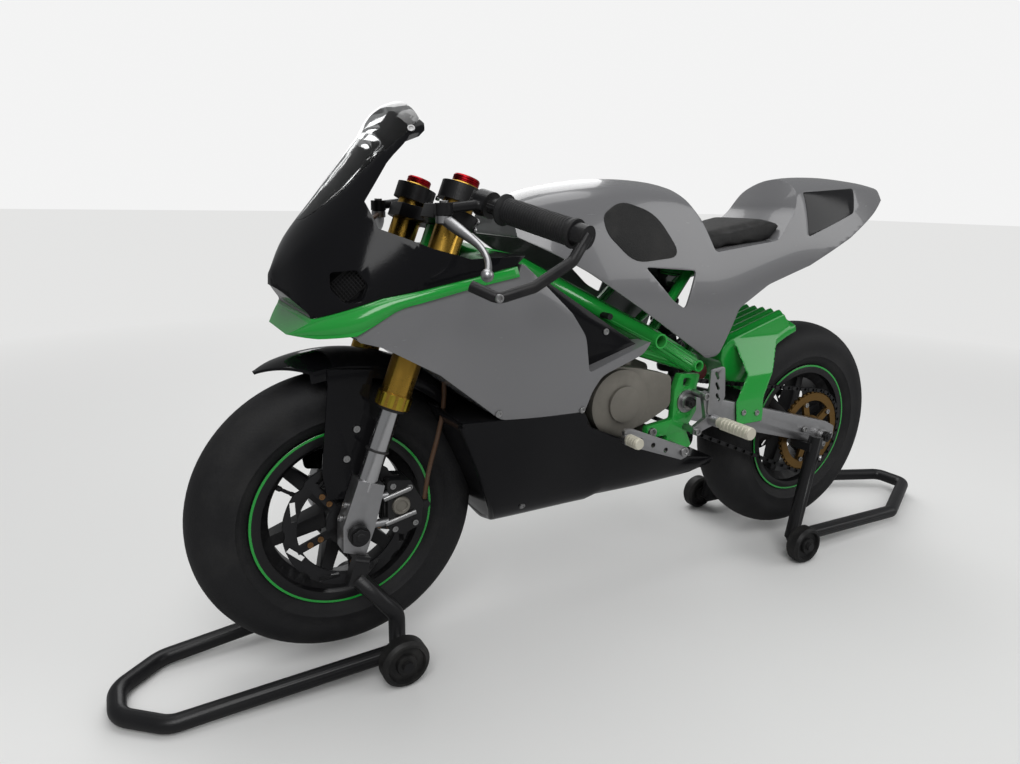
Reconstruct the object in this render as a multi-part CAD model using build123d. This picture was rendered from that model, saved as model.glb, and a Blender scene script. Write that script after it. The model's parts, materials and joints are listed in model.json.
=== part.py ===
from build123d import *
import os
from math import sin, cos, tan, radians, atan2, pi

# Mini racing motorcycle on a front and a rear paddock stand.
# X points forward, Y to the rider's left, Z up. Millimetres.
# The design is drawn with X = 0 at the front axle and moved to its origin at export.

# Wheels and where they stand
wheelbase = 985
axle_height = 242
front_tyre_radius = 217
front_tyre_half = 48
rear_tyre_radius = 223
rear_tyre_half = 55
tyre_wall = 9
tread_wall = 13
bead_seat = 18
flange_radius = 137
flange_height = 11
lip = 3
rim_wall = 5
front_rim_half = 38
rear_rim_half = 46
hub_radius = 26
spoke_count = 6
spoke_root = 26
spoke_tip = 17
spoke_depth = 24
axle_radius = 7.5
running_fit = 0.05
seat_fit = 0.3

# Discs and brakes
front_disc_radius = 96
rear_disc_radius = 82
disc_thick = 4
disc_ring = 20
disc_waves = 8
disc_wave_depth = 3.5
disc_y = 58
rear_disc_y = 62

# Steering geometry
rake = 20.5
axle_lead = 22
leg_offset = 28
leg_spacing = 85

# Fork, all lengths along the steering axis above the axle
gold_radius = 22
collar_radius = 24.5
collar_length = 20
chrome_radius = 15
gold_bottom = 186
cap_top = 520
cap_length = 16
chrome_bottom = 62
foot_bottom = -30
foot_width = 30
lower_yoke_s = 340
upper_yoke_s = 462
yoke_thick = 20
yoke_rim = 9
stem_radius = 13
head_radius = 27
head_clearance = 1.0
clamp_s = 495
clamp_height = 24
caliper_face = -52

# Handlebars
bar_radius = 11
bar_bore = 8
bar_sweep = 18
bar_droop = 12
bar_length = 216
grip_radius = 17
grip_start = 82
grip_end = 206
perch_at = 50

# Frame tubes
main_tube = 17
lower_tube = 12
cross_tube_front = 12.5
cross_tube_rear = 10
cross_tube_wall = 3
seat_tube = 9
plate_y = 112
plate_thick = 12

# Swingarm and rear axle
pivot_x = -583
pivot_z = 370
pivot_radius = 8
pivot_tube = 17
beam_inner = 76
beam_thick = 22
beam_height = 48
beam_drop = 15

# Chain drive
chain_y = 67
chain_width = 10
chain_height = 10
sprocket_radius = 88
drive_radius = 30
drive_x = -515
drive_z = 380
tooth_gap = 0.6

# Bodywork
panel_wall = 3
panel_gap = 0.6
tank_wall = 3.5
seat_floor_thick = 4

# Paddock stands
roller_radius = 37
roller_width = 28
stand_tube = 12.5
front_roller_x = -54
front_roller_y = 129
front_arm_y = 101
rear_roller_x = -905
rear_roller_y = 150
rear_arm_y = 120
front_loop_x = 322
rear_loop_x = -1420
lift_gap = 0.3
saddle_x = 5

rear_axle_x = -wheelbase
both = (1, -1)
nodes = {}


def add(name, *solids):
    # Collects one node: each solid is its own piece
    nodes[name] = Compound(children=[s for part in solids for s in part.solids()])


def rod(start, end, radius, bore=0):
    # Straight round bar between two points, hollow when a bore is given
    a, b = Vector(start), Vector(end)
    plane = Plane(origin=a, z_dir=b - a)
    length = (b - a).length
    low = (Align.CENTER, Align.CENTER, Align.MIN)
    bar = plane * Cylinder(radius, length, align=low)
    if bore:
        bar -= plane * Cylinder(bore, length, align=low)
    return bar


def across(x, z, radius, y_low, y_high):
    # Round bar along Y
    return rod((x, y_low, z), (x, y_high, z), radius)


def bent_tube(points, radius, bend, bore=0):
    # Round tube through points, with arcs of one bend radius
    path = FilletPolyline(*points, radius=bend)
    section = Circle(radius)
    if bore:
        section -= Circle(bore)
    return sweep(Plane(origin=path @ 0, z_dir=path % 0) * section, path=path)


def side_face(points, corner=0):
    # Outline in the side view, X and Z, with rounded corners
    face = make_face(Polyline(*points, close=True))
    if corner:
        face = fillet(face.vertices(), corner)
    return face


def slab(face, y_low, y_high):
    # A side-view outline given its thickness in Y
    return extrude(Plane.XZ.offset(-y_low) * face, amount=-(y_high - y_low))


def plate(points, y_low, y_high, corner=0):
    return slab(side_face(points, corner), y_low, y_high)


def mirrored(part):
    return mirror(part, about=Plane.XZ)


def turned(part, angle):
    # Turned about the Y axis through the origin
    return Rotation(0, angle, 0) * part


def ring(outer, inner, y_low, y_high):
    # Ring about the Y axis
    return across(0, 0, outer, y_low, y_high) - across(0, 0, inner, y_low - 1, y_high + 1)


# Wheels

def tyre(radius, half, rim_half):
    # Slick carcass of cones and cylinders, open at the beads
    bead = flange_radius - flange_height
    shoulder = bead + (radius - bead) * 0.52
    seat = rim_half - lip - seat_fit
    outer = [(bead, seat - flange_height * 0.3), (shoulder + 8, half), (radius - 10, half * 0.7),
             (radius, half * 0.25)]
    inner_r, inner_h = radius - tread_wall, half - tyre_wall
    inner = [(bead, rim_half - bead_seat), (inner_r - 8, inner_h * 0.85)]
    left = outer[::-1] + inner
    right = [(r, -y) for r, y in left[::-1]]
    return revolve(make_face(Polyline(*left, *right, close=True)), axis=Axis.Y)


def rim(half, hub_half):
    # Cast wheel: barrel with a drop centre, hub and tapered spokes
    bead = flange_radius - flange_height - seat_fit
    well = bead - 15
    barrel = make_face(Polyline(
        (flange_radius, half), (flange_radius, half - lip), (bead, half - lip - 3),
        (bead, half - 16), (well, half - 24), (well, 24 - half), (bead, 16 - half),
        (bead, lip + 3 - half), (flange_radius, lip - half), (flange_radius, -half),
        (bead - rim_wall, -half), (bead - rim_wall, 14 - half), (well - rim_wall, 26 - half),
        (well - rim_wall, half - 26), (bead - rim_wall, half - 14), (bead - rim_wall, half), close=True))
    body = revolve(barrel, axis=Axis.Y) + across(0, 0, hub_radius, -hub_half, hub_half)
    end = well - rim_wall / 2
    for n in range(spoke_count):
        spoke = loft([
            Plane.YZ.offset(hub_radius - 6) * Rectangle(spoke_depth * 1.5, spoke_root),
            Plane.YZ.offset(end) * Rectangle(spoke_depth, spoke_tip)])
        body += turned(spoke, 360 / spoke_count * n + 15)
    return body - across(0, 0, axle_radius + running_fit, -hub_half - 1, hub_half + 1)


def wavy_disc(radius, y, hub_face):
    # Brake disc with a wavy rim, windows and a five-armed carrier
    inner = radius - disc_ring
    disc = ring(radius, inner, y - disc_thick / 2, y + disc_thick / 2)
    for n in range(disc_waves):
        bite_at = radius + disc_waves * 1.9
        bite = across(bite_at, 0, bite_at - radius + disc_wave_depth, y - disc_thick, y + disc_thick)
        disc -= turned(bite, 360 / disc_waves * n)
        window = Pos(radius - disc_ring / 2 - 0.5, y, 0) * Rotation(0, 24, 0) * Box(8, 2 * disc_thick, 30)
        disc -= turned(window, 360 / disc_waves * (n + 0.5))
    low, high = min(hub_face, y - disc_thick / 2), max(hub_face, y + disc_thick / 2)
    disc += ring(hub_radius + 8, axle_radius + 6, low, high)
    for n in range(5):
        arm = Pos(inner / 2 + 12, y, 0) * Box(inner - 12, disc_thick, 12)
        disc += turned(arm, 72 * n + 20)
    return disc


# Both wheels are made about their axle and then placed
front_hub_half = 52
rear_hub_half = 54
front_place = Pos(0, 0, axle_height)
rear_place = Pos(rear_axle_x, 0, axle_height)

add("front_tyre", front_place * tyre(front_tyre_radius, front_tyre_half, front_rim_half))
add("front_rim", front_place * rim(front_rim_half, front_hub_half))
add("front_disc", front_place * wavy_disc(front_disc_radius, disc_y, front_hub_half))
add("rear_tyre", rear_place * tyre(rear_tyre_radius, rear_tyre_half, rear_rim_half))
add("rear_rim", rear_place * rim(rear_rim_half, rear_hub_half))
add("rear_disc", rear_place * wavy_disc(rear_disc_radius, -rear_disc_y, -rear_hub_half))

tooth_tip = sprocket_radius - chain_height / 2 - tooth_gap
sprocket = ring(tooth_tip, tooth_tip - 16, chain_y - 3, chain_y + 3)
sprocket += ring(34, axle_radius + 6, rear_hub_half, chain_y + 3)
for n in range(5):
    sprocket += turned(Pos(52, chain_y, 0) * Box(48, 6, 15), 72 * n)
add("rear_sprocket", rear_place * sprocket)


# Fork and everything that steers, drawn upright about the steering axis and then leaned back
steering_origin = (-axle_lead * cos(radians(rake)), 0, axle_height - axle_lead * sin(radians(rake)))
lean = Location(steering_origin, (0, -rake, 0))


def leg(side, radius, s_low, s_high):
    return Pos(leg_offset, side * leg_spacing, s_low) * Cylinder(
        radius, s_high - s_low, align=(Align.CENTER, Align.CENTER, Align.MIN))


def yoke(s, plate_half):
    # One fork yoke: two leg clamps joined over the stem
    eye = gold_radius + yoke_rim
    outline = make_hull(
        (Pos(0, 0) * Circle(stem_radius + 13)).edges()
        + (Pos(leg_offset, leg_spacing) * Circle(eye)).edges()
        + (Pos(leg_offset, -leg_spacing) * Circle(eye)).edges())
    body = extrude(Plane.XY.offset(s - plate_half) * outline, amount=2 * plate_half)
    waist = Pos(leg_offset + 62, 0, s) * Cylinder(52, 2 * plate_half + 2)
    return body - waist


yokes = yoke(lower_yoke_s, yoke_thick / 2 + 2) + yoke(upper_yoke_s, yoke_thick / 2)
yokes += Pos(0, 0, (lower_yoke_s + upper_yoke_s) / 2) * Cylinder(stem_radius, upper_yoke_s - lower_yoke_s)
for side in both:
    yokes -= leg(side, gold_radius + running_fit, lower_yoke_s - 40, upper_yoke_s + 40)
add("yokes", lean * yokes)

gold, chrome, feet = [], [], []
for side in both:
    tube = leg(side, gold_radius, gold_bottom + 4, cap_top - cap_length)
    tube += leg(side, collar_radius, gold_bottom, gold_bottom + collar_length)
    tube += leg(side, gold_radius - 4, cap_top - cap_length, cap_top)
    tube -= leg(side, chrome_radius + running_fit, gold_bottom - 1, gold_bottom + 90)
    gold.append(lean * tube)
    chrome.append(lean * leg(side, chrome_radius, chrome_bottom, gold_bottom + 85))
    # Machined foot: clamps the chrome tube at the top and the axle behind it
    foot_x = leg_offset - 2
    outline = make_face(Polyline(
        (foot_x - 20, chrome_bottom + 14), (foot_x + 20, chrome_bottom + 14), (foot_x + 20, 6),
        (foot_x + 8, foot_bottom), (axle_lead - 22, foot_bottom), (axle_lead - 22, 14), close=True))
    foot = extrude(Plane.XZ.offset(-(side * leg_spacing - foot_width / 2)) * outline, amount=-foot_width)
    foot -= leg(side, chrome_radius + running_fit, chrome_bottom, chrome_bottom + 40)
    foot -= across(axle_lead, 0, axle_radius + running_fit, side * leg_spacing - 40, side * leg_spacing + 40)
    foot = lean * foot
    if side > 0:
        # Lugs that carry the caliper
        for z in (242, 284):
            foot += rod((-15, disc_y + 21, z), (caliper_face + 0.1, disc_y + 21, z), 6)
    feet.append(foot)
add("fork_tubes", *gold)
add("fork_sliders", *chrome)
add("fork_feet", *feet)

foot_outer = leg_spacing + foot_width / 2
front_axle = across(0, axle_height, axle_radius, -foot_outer - 14, foot_outer + 2)
front_axle += across(0, axle_height, 15, foot_outer + 0.1, foot_outer + 10)
front_axle += across(0, axle_height, 13, -foot_outer - 14, -foot_outer - 0.1)
for side in both:
    low, high = sorted((side * (front_hub_half + 0.5), side * (leg_spacing - foot_width / 2 - 0.1)))
    front_axle += across(0, axle_height, 12, low, high)
add("front_axle", front_axle)

# Handlebars clamp the gold tubes above the upper yoke
sweep_rad, droop_rad = radians(bar_sweep), radians(bar_droop)
clamp_point = lean * Pos(leg_offset, leg_spacing, clamp_s)
bar_root = clamp_point.position
bar_way = Vector(-sin(sweep_rad) * cos(droop_rad), cos(sweep_rad) * cos(droop_rad), -sin(droop_rad))


def on_bar(distance):
    return bar_root + bar_way * distance


def bar_piece(radius, start, end, bore=0):
    return rod(on_bar(start), on_bar(end), radius, bore)


clamp = lean * (leg(1, gold_radius + 9, clamp_s - clamp_height / 2, clamp_s + clamp_height / 2))
bar = clamp + bar_piece(bar_radius, gold_radius + 4, bar_length)
bar -= lean * leg(1, gold_radius + running_fit, clamp_s - 60, clamp_s + 60)
bar -= bar_piece(bar_bore, gold_radius + 20, bar_length + 1)
add("clip_ons", bar, mirrored(bar))

grip = bar_piece(grip_radius, grip_start, grip_end, bar_radius + running_fit)
grip += bar_piece(grip_radius + 4, grip_start, grip_start + 5, bar_radius + running_fit)
grip += bar_piece(grip_radius + 2, grip_end - 5, grip_end, bar_radius + running_fit)
add("grips", grip, mirrored(grip))

# Lever, its perch and the guard outside it
lever_route = [(-122, 128, 678), (-134, 158, 661), (-141, 200, 645), (-134, 236, 627), (-119, 258, 617)]
lever_pivot = Vector(lever_route[0])
perch_ring = bar_piece(bar_radius + 7, perch_at - 11, perch_at + 11)
perch = perch_ring + rod(on_bar(perch_at) + Vector(4, 0, 0), lever_pivot + Vector(0, -2, 12.5), 7)
perch += rod(lever_pivot + Vector(0, 0, 4.5), lever_pivot + Vector(0, 0, 20), 12)
perch -= bar_piece(bar_radius + running_fit, perch_at - 20, perch_at + 20)
lever = bent_tube(lever_route, 4.2, 14) + Pos(*lever_route[-1]) * Sphere(8)
lever += rod(lever_pivot - Vector(0, 0, 6), lever_pivot + Vector(0, 0, 4.4), 9)
add("lever_perches", perch, mirrored(perch))
add("levers", lever, mirrored(lever))

guard_route = [(-236, 292, 664), (-212, 297, 634), (-160, 297, 606), (-118, 288, 594), (-96, 262, 606)]
guard = bent_tube(guard_route, 7, 16)
guard += bar_piece(grip_radius - 2, grip_end + 0.5, grip_end + 18)
guard -= bar_piece(bar_radius + running_fit, grip_end - 1, bar_length + 0.1)
add("lever_guards", guard, mirrored(guard))

# Front mudguard: an arched shell about the wheel with a leg down to each foot
arch_inner = front_tyre_radius + 17
arch_wall = 3
arch_half = 58
leg_inner = 65


def arch(radius, half, wall, skirt, start, sweep_angle):
    # Rounded trough swept about the Y axis from one angle to another, measured from +X upward
    crown, edge = radius + 16, radius - skirt
    face = make_face([
        ThreePointArc((radius, half), (crown, 0), (radius, -half)),
        Line((radius, -half), (edge, -half - 1)),
        Line((edge, -half - 1), (edge, -half - 1 + wall)),
        Line((edge, -half - 1 + wall), (radius - wall, -half + wall)),
        ThreePointArc((radius - wall, -half + wall), (crown - wall, 0), (radius - wall, half - wall)),
        Line((radius - wall, half - wall), (edge, half + 1 - wall)),
        Line((edge, half + 1 - wall), (edge, half + 1)),
        Line((edge, half + 1), (radius, half))])
    shell = revolve(face, axis=Axis.Y, revolution_arc=sweep_angle)
    return turned(shell, -start)


fender_start, fender_end = 64, 142
fender = front_place * arch(arch_inner, arch_half, arch_wall, 16, fender_end, fender_end - fender_start)
leg_outline = [(-33, 446), (24, 458), (38, 330), (32, 288), (-8, 282), (-36, 300), (-50, 380), (-33, 406)]
leg_outer = leg_inner + arch_wall
fender_leg = plate(leg_outline, leg_inner, leg_outer, 8)
fender_leg += across(-8, 300, 7, leg_inner, leg_spacing - foot_width / 2 - 0.1)
fender += plate([(-42, 470), (24, 476), (24, 446), (-33, 436)], arch_half - arch_wall + 1, leg_outer)
fender = fender_leg + fender
fender += mirrored(fender)
for side in both:
    # The front narrows to a point in plan
    wing = make_face(Polyline((130, side * 2), (106, side * 6), (34, side * 64), (34, side * 90),
                              (130, side * 90), close=True))
    fender -= extrude(Plane.XY.offset(400) * wing, amount=140)
add("front_fender", fender)

# Front caliper on the left leg, straddling the disc
caliper = plate([(caliper_face, 306), (-88, 300), (-108, 262), (-104, 226), (-74, 216), (caliper_face, 228)],
                disc_y - 22, disc_y + 22, 6)
caliper += across(-113, 256, 6.5, disc_y + 6, disc_y + 21)
caliper -= front_place * ring(front_disc_radius + 3, 20, disc_y - disc_thick / 2 - 2, disc_y + disc_thick / 2 + 2)
add("front_caliper", caliper)

# Brake hose from the caliper, up between the legs to the right master cylinder
hose_radius = 3.5
hose_route = [
    (-113, disc_y + 14, 263), (-120, disc_y + 14, 308), (-134, 74, 356), (-146, 72, 404), (-150, 64, 452),
    (-142, 48, 498), (-116, 24, 528), (-82, 2, 548), (-62, -22, 586), (-66, -48, 632), (-88, -84, 664),
    (-116, -116, 676)]


def hose_bends(points):
    # Each bend is as large as its two runs allow
    bends = []
    for before, here, after in zip(points, points[1:], points[2:]):
        first, second = Vector(*here) - Vector(*before), Vector(*after) - Vector(*here)
        half_turn = radians(first.get_angle(second)) / 2
        bends.append(0.45 * min(first.length, second.length) / tan(half_turn))
    return bends


hose_radii = hose_bends(hose_route)
print("brake hose bend radii", [round(r) for r in hose_radii])
hose_path = FilletPolyline(*hose_route, radius=hose_radii)
hose = sweep(Plane(origin=hose_path @ 0, z_dir=hose_path % 0) * Circle(hose_radius), path=hose_path)
print("brake hose volume share", round(hose.volume / (pi * hose_radius ** 2 * hose_path.length), 3))
add("brake_hose", hose)


# Frame
head_low = (lean * Pos(0, 0, lower_yoke_s + yoke_thick / 2 + 2 + head_clearance)).position
head_high = (lean * Pos(0, 0, upper_yoke_s - yoke_thick / 2 - head_clearance)).position
cross_front = (-506, 484)
cross_rear = (-594, 434)
seat_bar = (-604, 586)
rail_half = 74
main_end_y = 108
frame = rod(head_low, head_high, head_radius)
for side in both:
    shoulder = (-268, side * 66, 606)
    frame += rod((-182, side * 16, 628), shoulder, main_tube)
    frame += Pos(*shoulder) * Sphere(main_tube)
    frame += rod(shoulder, (cross_front[0], side * main_end_y, cross_front[1]), main_tube)
    frame += rod((cross_front[0], side * main_end_y, cross_front[1]),
                 (cross_rear[0], side * main_end_y, cross_rear[1]), main_tube)
    frame += rod((-166, side * 14, 590), (-350, side * 78, 512), lower_tube)
    frame += Pos(-350, side * 78, 512) * Sphere(lower_tube)
    frame += rod((-350, side * 78, 512), (cross_rear[0] + 10, side * (main_end_y - 4), cross_rear[1]), lower_tube)
    frame += rod((-350, side * 78, 512), (-402, side * 88, 544), lower_tube - 2)
    # Seat tubes
    rail_start, rail_end = (seat_bar[0], side * rail_half, seat_bar[1]), (-985, side * 44, 648)
    frame += rod((cross_front[0] - 4, side * 94, cross_front[1] + 4), rail_start, seat_tube)
    frame += Pos(*rail_start) * Sphere(seat_tube)
    frame += rod(rail_start, rail_end, seat_tube)
    frame += rod((cross_rear[0], side * 90, cross_rear[1] + 8), (-786, side * 60, 616), seat_tube - 1)
for at, radius in ((cross_front, cross_tube_front), (cross_rear, cross_tube_rear)):
    frame += across(at[0], at[1], radius, -main_end_y - 24, main_end_y + 24)
frame += across(seat_bar[0], seat_bar[1], seat_tube, -rail_half, rail_half)
frame += across(-985, 648, seat_tube, -44, 44)
for at, radius in ((cross_front, cross_tube_front), (cross_rear, cross_tube_rear)):
    frame -= across(at[0], at[1], radius - cross_tube_wall, -main_end_y - 30, main_end_y + 30)
frame -= lean * Pos(0, 0, (lower_yoke_s + upper_yoke_s) / 2) * Cylinder(stem_radius + 1, 400)
add("main_frame", frame)

# Machined side plates: from the rear cross tube down past the swingarm pivot
plate_outline = [(-566, 420), (-612, 416), (-606, 392), (-610, 350), (-588, 318), (-606, 284), (-558, 281),
                 (-543, 290), (-548, 313), (-500, 314), (-500, 334), (-556, 340), (-556, 392)]
side_plate = plate(plate_outline, plate_y - plate_thick / 2, plate_y + plate_thick / 2, 5)
side_plate += across(pivot_x, pivot_z, 21, plate_y - plate_thick / 2, plate_y + plate_thick / 2)
side_plate -= across(pivot_x, pivot_z, pivot_radius + running_fit, 0, 200)
side_plate -= plate([(-574, 412), (-592, 410), (-590, 396), (-574, 397)], 90, 140, 4)
add("side_plates", side_plate, mirrored(side_plate))

# Engine: closed crankcase, finned cylinder lying forward, covers
plate_inner = plate_y - plate_thick / 2
engine = plate([(-372, 448), (-490, 450), (-548, 426), (-560, 330), (-520, 296), (-400, 294), (-366, 330)],
               -88, 92, 12)
engine -= plate([(-478, 470), (-570, 470), (-570, 310), (-478, 326)], 52, 100)
engine += across(drive_x, drive_z, 14, 40, chain_y + 10)
engine += across(drive_x, drive_z, drive_radius - chain_height / 2 - tooth_gap, chain_y - 3, chain_y + 3)
engine += across(-510, 324, 9, -plate_inner, plate_inner)
engine += Pos(-362, 0, 372) * Box(30, 110, 96)
add("engine_block", engine)

fin_count = 6
fin_pitch = 11
cylinder_way = Location((-347, 0, 374), (0, 86, 0))
barrel = cylinder_way * Cylinder(44, 100, align=(Align.CENTER, Align.CENTER, Align.MIN))
for n in range(fin_count):
    barrel += cylinder_way * Pos(0, 0, 10 + fin_pitch * n) * Box(108, 116, 4.5)
head = cylinder_way * Pos(0, 0, 78) * Box(92, 100, 36, align=(Align.CENTER, Align.CENTER, Align.MIN))
cylinder = barrel + head
cylinder -= Pos(-362, 0, 372) * Box(30.1, 110.1, 96.1)
add("engine_cylinder", cylinder)

cover_face = side_face([(-378, 398), (-392, 436), (-430, 446), (-470, 440), (-546, 420), (-548, 366),
                        (-500, 344), (-436, 326), (-396, 344)], 14)
cover = slab(cover_face, 92, 118) + across(-434, 386, 56, 92, 126) + across(-440, 385, 30, 92, 131)
right_cover = slab(cover_face, -116, -88) + across(-440, 385, 50, -126, -88)
add("engine_covers", cover, right_cover)

# Exhaust: down from the head, back under the engine to a short silencer on the right
exhaust_route = [(-252, -18, 346), (-256, -22, 262), (-310, -34, 234), (-440, -42, 230), (-560, -46, 232)]
exhaust_radius = 15
exhaust = bent_tube(exhaust_route, exhaust_radius, 26, exhaust_radius - 2) - cylinder
add("exhaust_pipe", exhaust)
silencer_start, silencer_end = (-546, -45, 232), (-738, -46, 240)
silencer = rod(silencer_start, silencer_end, 32)
silencer += bent_tube([(-582, -46, 256), (-582, -46, 300), (-582, 0.1 - plate_inner, 300)], 5, 12)
silencer -= rod((-700, -46, 238), (-760, -46, 241), 16)
silencer -= rod(exhaust_route[-2], exhaust_route[-1], exhaust_radius + running_fit)
add("silencer", silencer)

# Foot controls
peg_x, peg_z = -618, 340
foot_lever = plate([(-422, 352), (-440, 350), (-560, 300), (-562, 284), (-548, 280), (-424, 326)], 148, 155, 5)
foot_lever += across(-428, 336, 7, 148, 186) + across(-553, 294, 8, plate_y + plate_thick / 2, 148)
add("foot_levers", foot_lever, mirrored(foot_lever))

bracket = plate([(-578, 330), (-578, 316), (-612, 326), (-632, 330), (-632, 350), (-618, 356), (-606, 392),
                 (-592, 390), (-604, 344)], 140, 148, 3)
bracket += plate([(-604, 352), (-604, 430), (-636, 434), (-642, 380), (-628, 346)], 148, 151, 6)
for x, z in ((-586, 323), (-599, 384)):
    bracket += across(x, z, 6, plate_y + plate_thick / 2, 140)
bracket += across(peg_x, peg_z, 10, 140, 166)
add("rearsets", bracket, mirrored(bracket))
peg = across(peg_x, peg_z, 9, 166, 236) + across(peg_x, peg_z, 11, 172, 238)
add("footpegs", peg, mirrored(peg))

# Swingarm
beam_start = (pivot_x - 16, pivot_z - beam_drop)
beam_end = (rear_axle_x - 14, axle_height + 2)
beam_slope = atan2(beam_start[1] - beam_end[1], beam_start[0] - beam_end[0])
rise = beam_height / 2 / cos(beam_slope)
beam = plate([(beam_start[0] + 28, pivot_z + 20), (beam_start[0] - 20, beam_start[1] + rise - 6),
              (beam_end[0], beam_end[1] + rise), (beam_end[0] - 26, beam_end[1] + 12),
              (beam_end[0] - 26, beam_end[1] - 14), (beam_end[0], beam_end[1] - rise),
              (beam_start[0] - 20, beam_start[1] - rise - 6), (beam_start[0] + 28, pivot_z - 20)],
             beam_inner, beam_inner + beam_thick, 6)
swingarm = beam + mirrored(beam)
swingarm += across(pivot_x, pivot_z, pivot_tube, -plate_inner + 0.2, plate_inner - 0.2)
brace_z = beam_start[1] - 18
swingarm += plate([(-628, brace_z + 18), (-700, brace_z), (-700, brace_z - 26), (-628, brace_z - 14)],
                  -beam_inner - 1, beam_inner + 1)
swingarm -= across(pivot_x, pivot_z, pivot_radius + running_fit, -200, 200)
swingarm -= across(rear_axle_x, axle_height, axle_radius + running_fit, -200, 200)
add("swingarm", swingarm)

beam_outer = beam_inner + beam_thick
plate_outer = plate_y + plate_thick / 2
rear_axle = across(rear_axle_x, axle_height, axle_radius, -beam_outer - 10, beam_outer + 10)
rear_axle += across(rear_axle_x, axle_height, 13, beam_outer + 0.1, beam_outer + 12)
rear_axle += across(rear_axle_x, axle_height, 13, -beam_outer - 12, -beam_outer - 0.1)
for low, high in ((chain_y + 3.5, beam_inner - 0.1), (0.1 - beam_inner, -rear_disc_y - disc_thick / 2 - 0.5)):
    rear_axle += across(rear_axle_x, axle_height, 12, low, high)
pivot_bolt = across(pivot_x, pivot_z, pivot_radius, -plate_outer - 8, plate_outer + 8)
pivot_bolt += across(pivot_x, pivot_z, 13, plate_outer + 0.1, plate_outer + 10)
pivot_bolt += across(pivot_x, pivot_z, 13, -plate_outer - 10, -plate_outer - 0.1)
add("axle_bolts", rear_axle, pivot_bolt)

# Shock with spring and reservoir, from the brace to the seat tube cross bar
shock_low, shock_high = (-664, 0, brace_z + 30), (seat_bar[0], 0, seat_bar[1])
low_v, way = Vector(*shock_low), Vector(*shock_high) - Vector(*shock_low)
shock = rod(shock_low, shock_high, 12)
for n in range(8):
    start = low_v + way * (0.22 + 0.075 * n)
    shock += rod(start, start + way * 0.045, 27)
shock += rod(low_v + way * 0.16, low_v + way * 0.22, 29)
shock += rod(low_v + way * 0.80, low_v + way * 0.86, 29)
shock += across(shock_low[0], shock_low[2], 11, -16, 16) + across(seat_bar[0], seat_bar[1], 16, -14, 14)
shock -= across(seat_bar[0], seat_bar[1], seat_tube + running_fit, -20, 20)
shock += rod((-662, 0, 400), (-690, 0, 396), 9) + across(-692, 393, 18, -40, 40)
add("shock", shock)

# Chain: a loop round both sprockets
def chain_loop(grow):
    # Outline of the loop, grown outward from its pitch line
    drive = Pos(drive_x, drive_z) * Circle(drive_radius + grow)
    driven = Pos(rear_axle_x, axle_height) * Circle(sprocket_radius + grow)
    return make_hull(drive.edges() + driven.edges())


chain = slab(chain_loop(chain_height / 2) - chain_loop(-chain_height / 2),
             chain_y - chain_width / 2, chain_y + chain_width / 2)
chain -= slab(chain_loop(chain_height / 2 - 3) - chain_loop(-chain_height), chain_y - 3.6, chain_y + 3.6)
add("chain", chain)

# Rear caliper over the disc, on an arm from the right beam
rear_caliper = plate([(-890, 306), (-916, 326), (-946, 318), (-942, 282), (-908, 278)],
                     seat_fit - beam_inner, 16 - rear_disc_y, 5)
rear_caliper -= rear_place * ring(rear_disc_radius + 3, 30, -rear_disc_y - 4, 4 - rear_disc_y)
add("rear_caliper", rear_caliper)


# Bodywork: one hull is lofted for the fairing and one for the seat unit, then cut into panels

def hull(rows, base, inset=0):
    # rows: x, half width low, waist half width, waist z, shoulder half width, shoulder z, top z
    faces = []
    for x, y_low, y_waist, z_waist, y_sh, z_sh, z_top in rows:
        floor = base + inset
        edges = [
            Line((inset - y_low, floor), (y_low - inset, floor)),
            ThreePointArc((y_low - inset, floor), (y_waist - inset, z_waist), (y_sh - inset, z_sh - inset / 2)),
            ThreePointArc((y_sh - inset, z_sh - inset / 2), (0, z_top - inset), (inset - y_sh, z_sh - inset / 2)),
            ThreePointArc((inset - y_sh, z_sh - inset / 2), (inset - y_waist, z_waist), (inset - y_low, floor))]
        faces.append(Plane.YZ.offset(x) * make_face(edges))
    return loft(faces, ruled=True)


fairing_rows = [
    (79, 12, 20, 572, 12, 590, 603),
    (50, 42, 84, 578, 62, 632, 654),
    (0, 58, 126, 588, 92, 668, 716),
    (-60, 70, 151, 590, 102, 738, 790),
    (-102, 76, 159, 590, 102, 796, 832),
    (-240, 80, 168, 570, 106, 790, 836),
    (-380, 82, 152, 520, 100, 760, 800),
    (-520, 80, 140, 480, 90, 700, 740),
    (-705, 60, 112, 400, 70, 620, 660)]
fairing_base = 176
outer_hull = hull(fairing_rows, fairing_base)
nose_x = fairing_rows[0][0]
inner_rows = [(nose_x - panel_wall,) + fairing_rows[0][1:]] + fairing_rows[1:-1] + [(-706,) + fairing_rows[-1][1:]]
inner_hull = hull(inner_rows, fairing_base, panel_wall)
wide = 260


def cut_panel(skin, points, corner=0):
    return skin & plate(points, -wide, wide, corner)


# The nose folds back in above the beak of the green band
notch_face = side_face([(46, 552), (76, 585), (130, 600), (130, 490), (76, 523)])
notch = slab(notch_face, -wide, wide)
cavity = inner_hull - slab(offset(notch_face, panel_wall), -wide, wide)
shell = (outer_hull - notch) - cavity
band_bulge = 3.5
band_shell = (hull(fairing_rows, fairing_base, -band_bulge) - notch) - cavity

# Each boundary is one line of points that both neighbours share
gap = panel_gap
band_top = [(110, 552), (46, 552), (-30, 580), (-142, 602), (-213, 617)]
band_low = [(110, 508), (44, 513), (4, 530), (-48, 567), (-150, 591), (-216, 603)]
screen_low = [(46, 674), (22, 698), (-50, 762), (-104, 803)]
cockpit = [(-229, 630), (-148, 627), (-97, 641), (-36, 665), (-26, 698), (-58, 746), (-80, 773), (-97, 780),
           (-106, 788), (-108, 797)]
screen_end = -106

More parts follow.
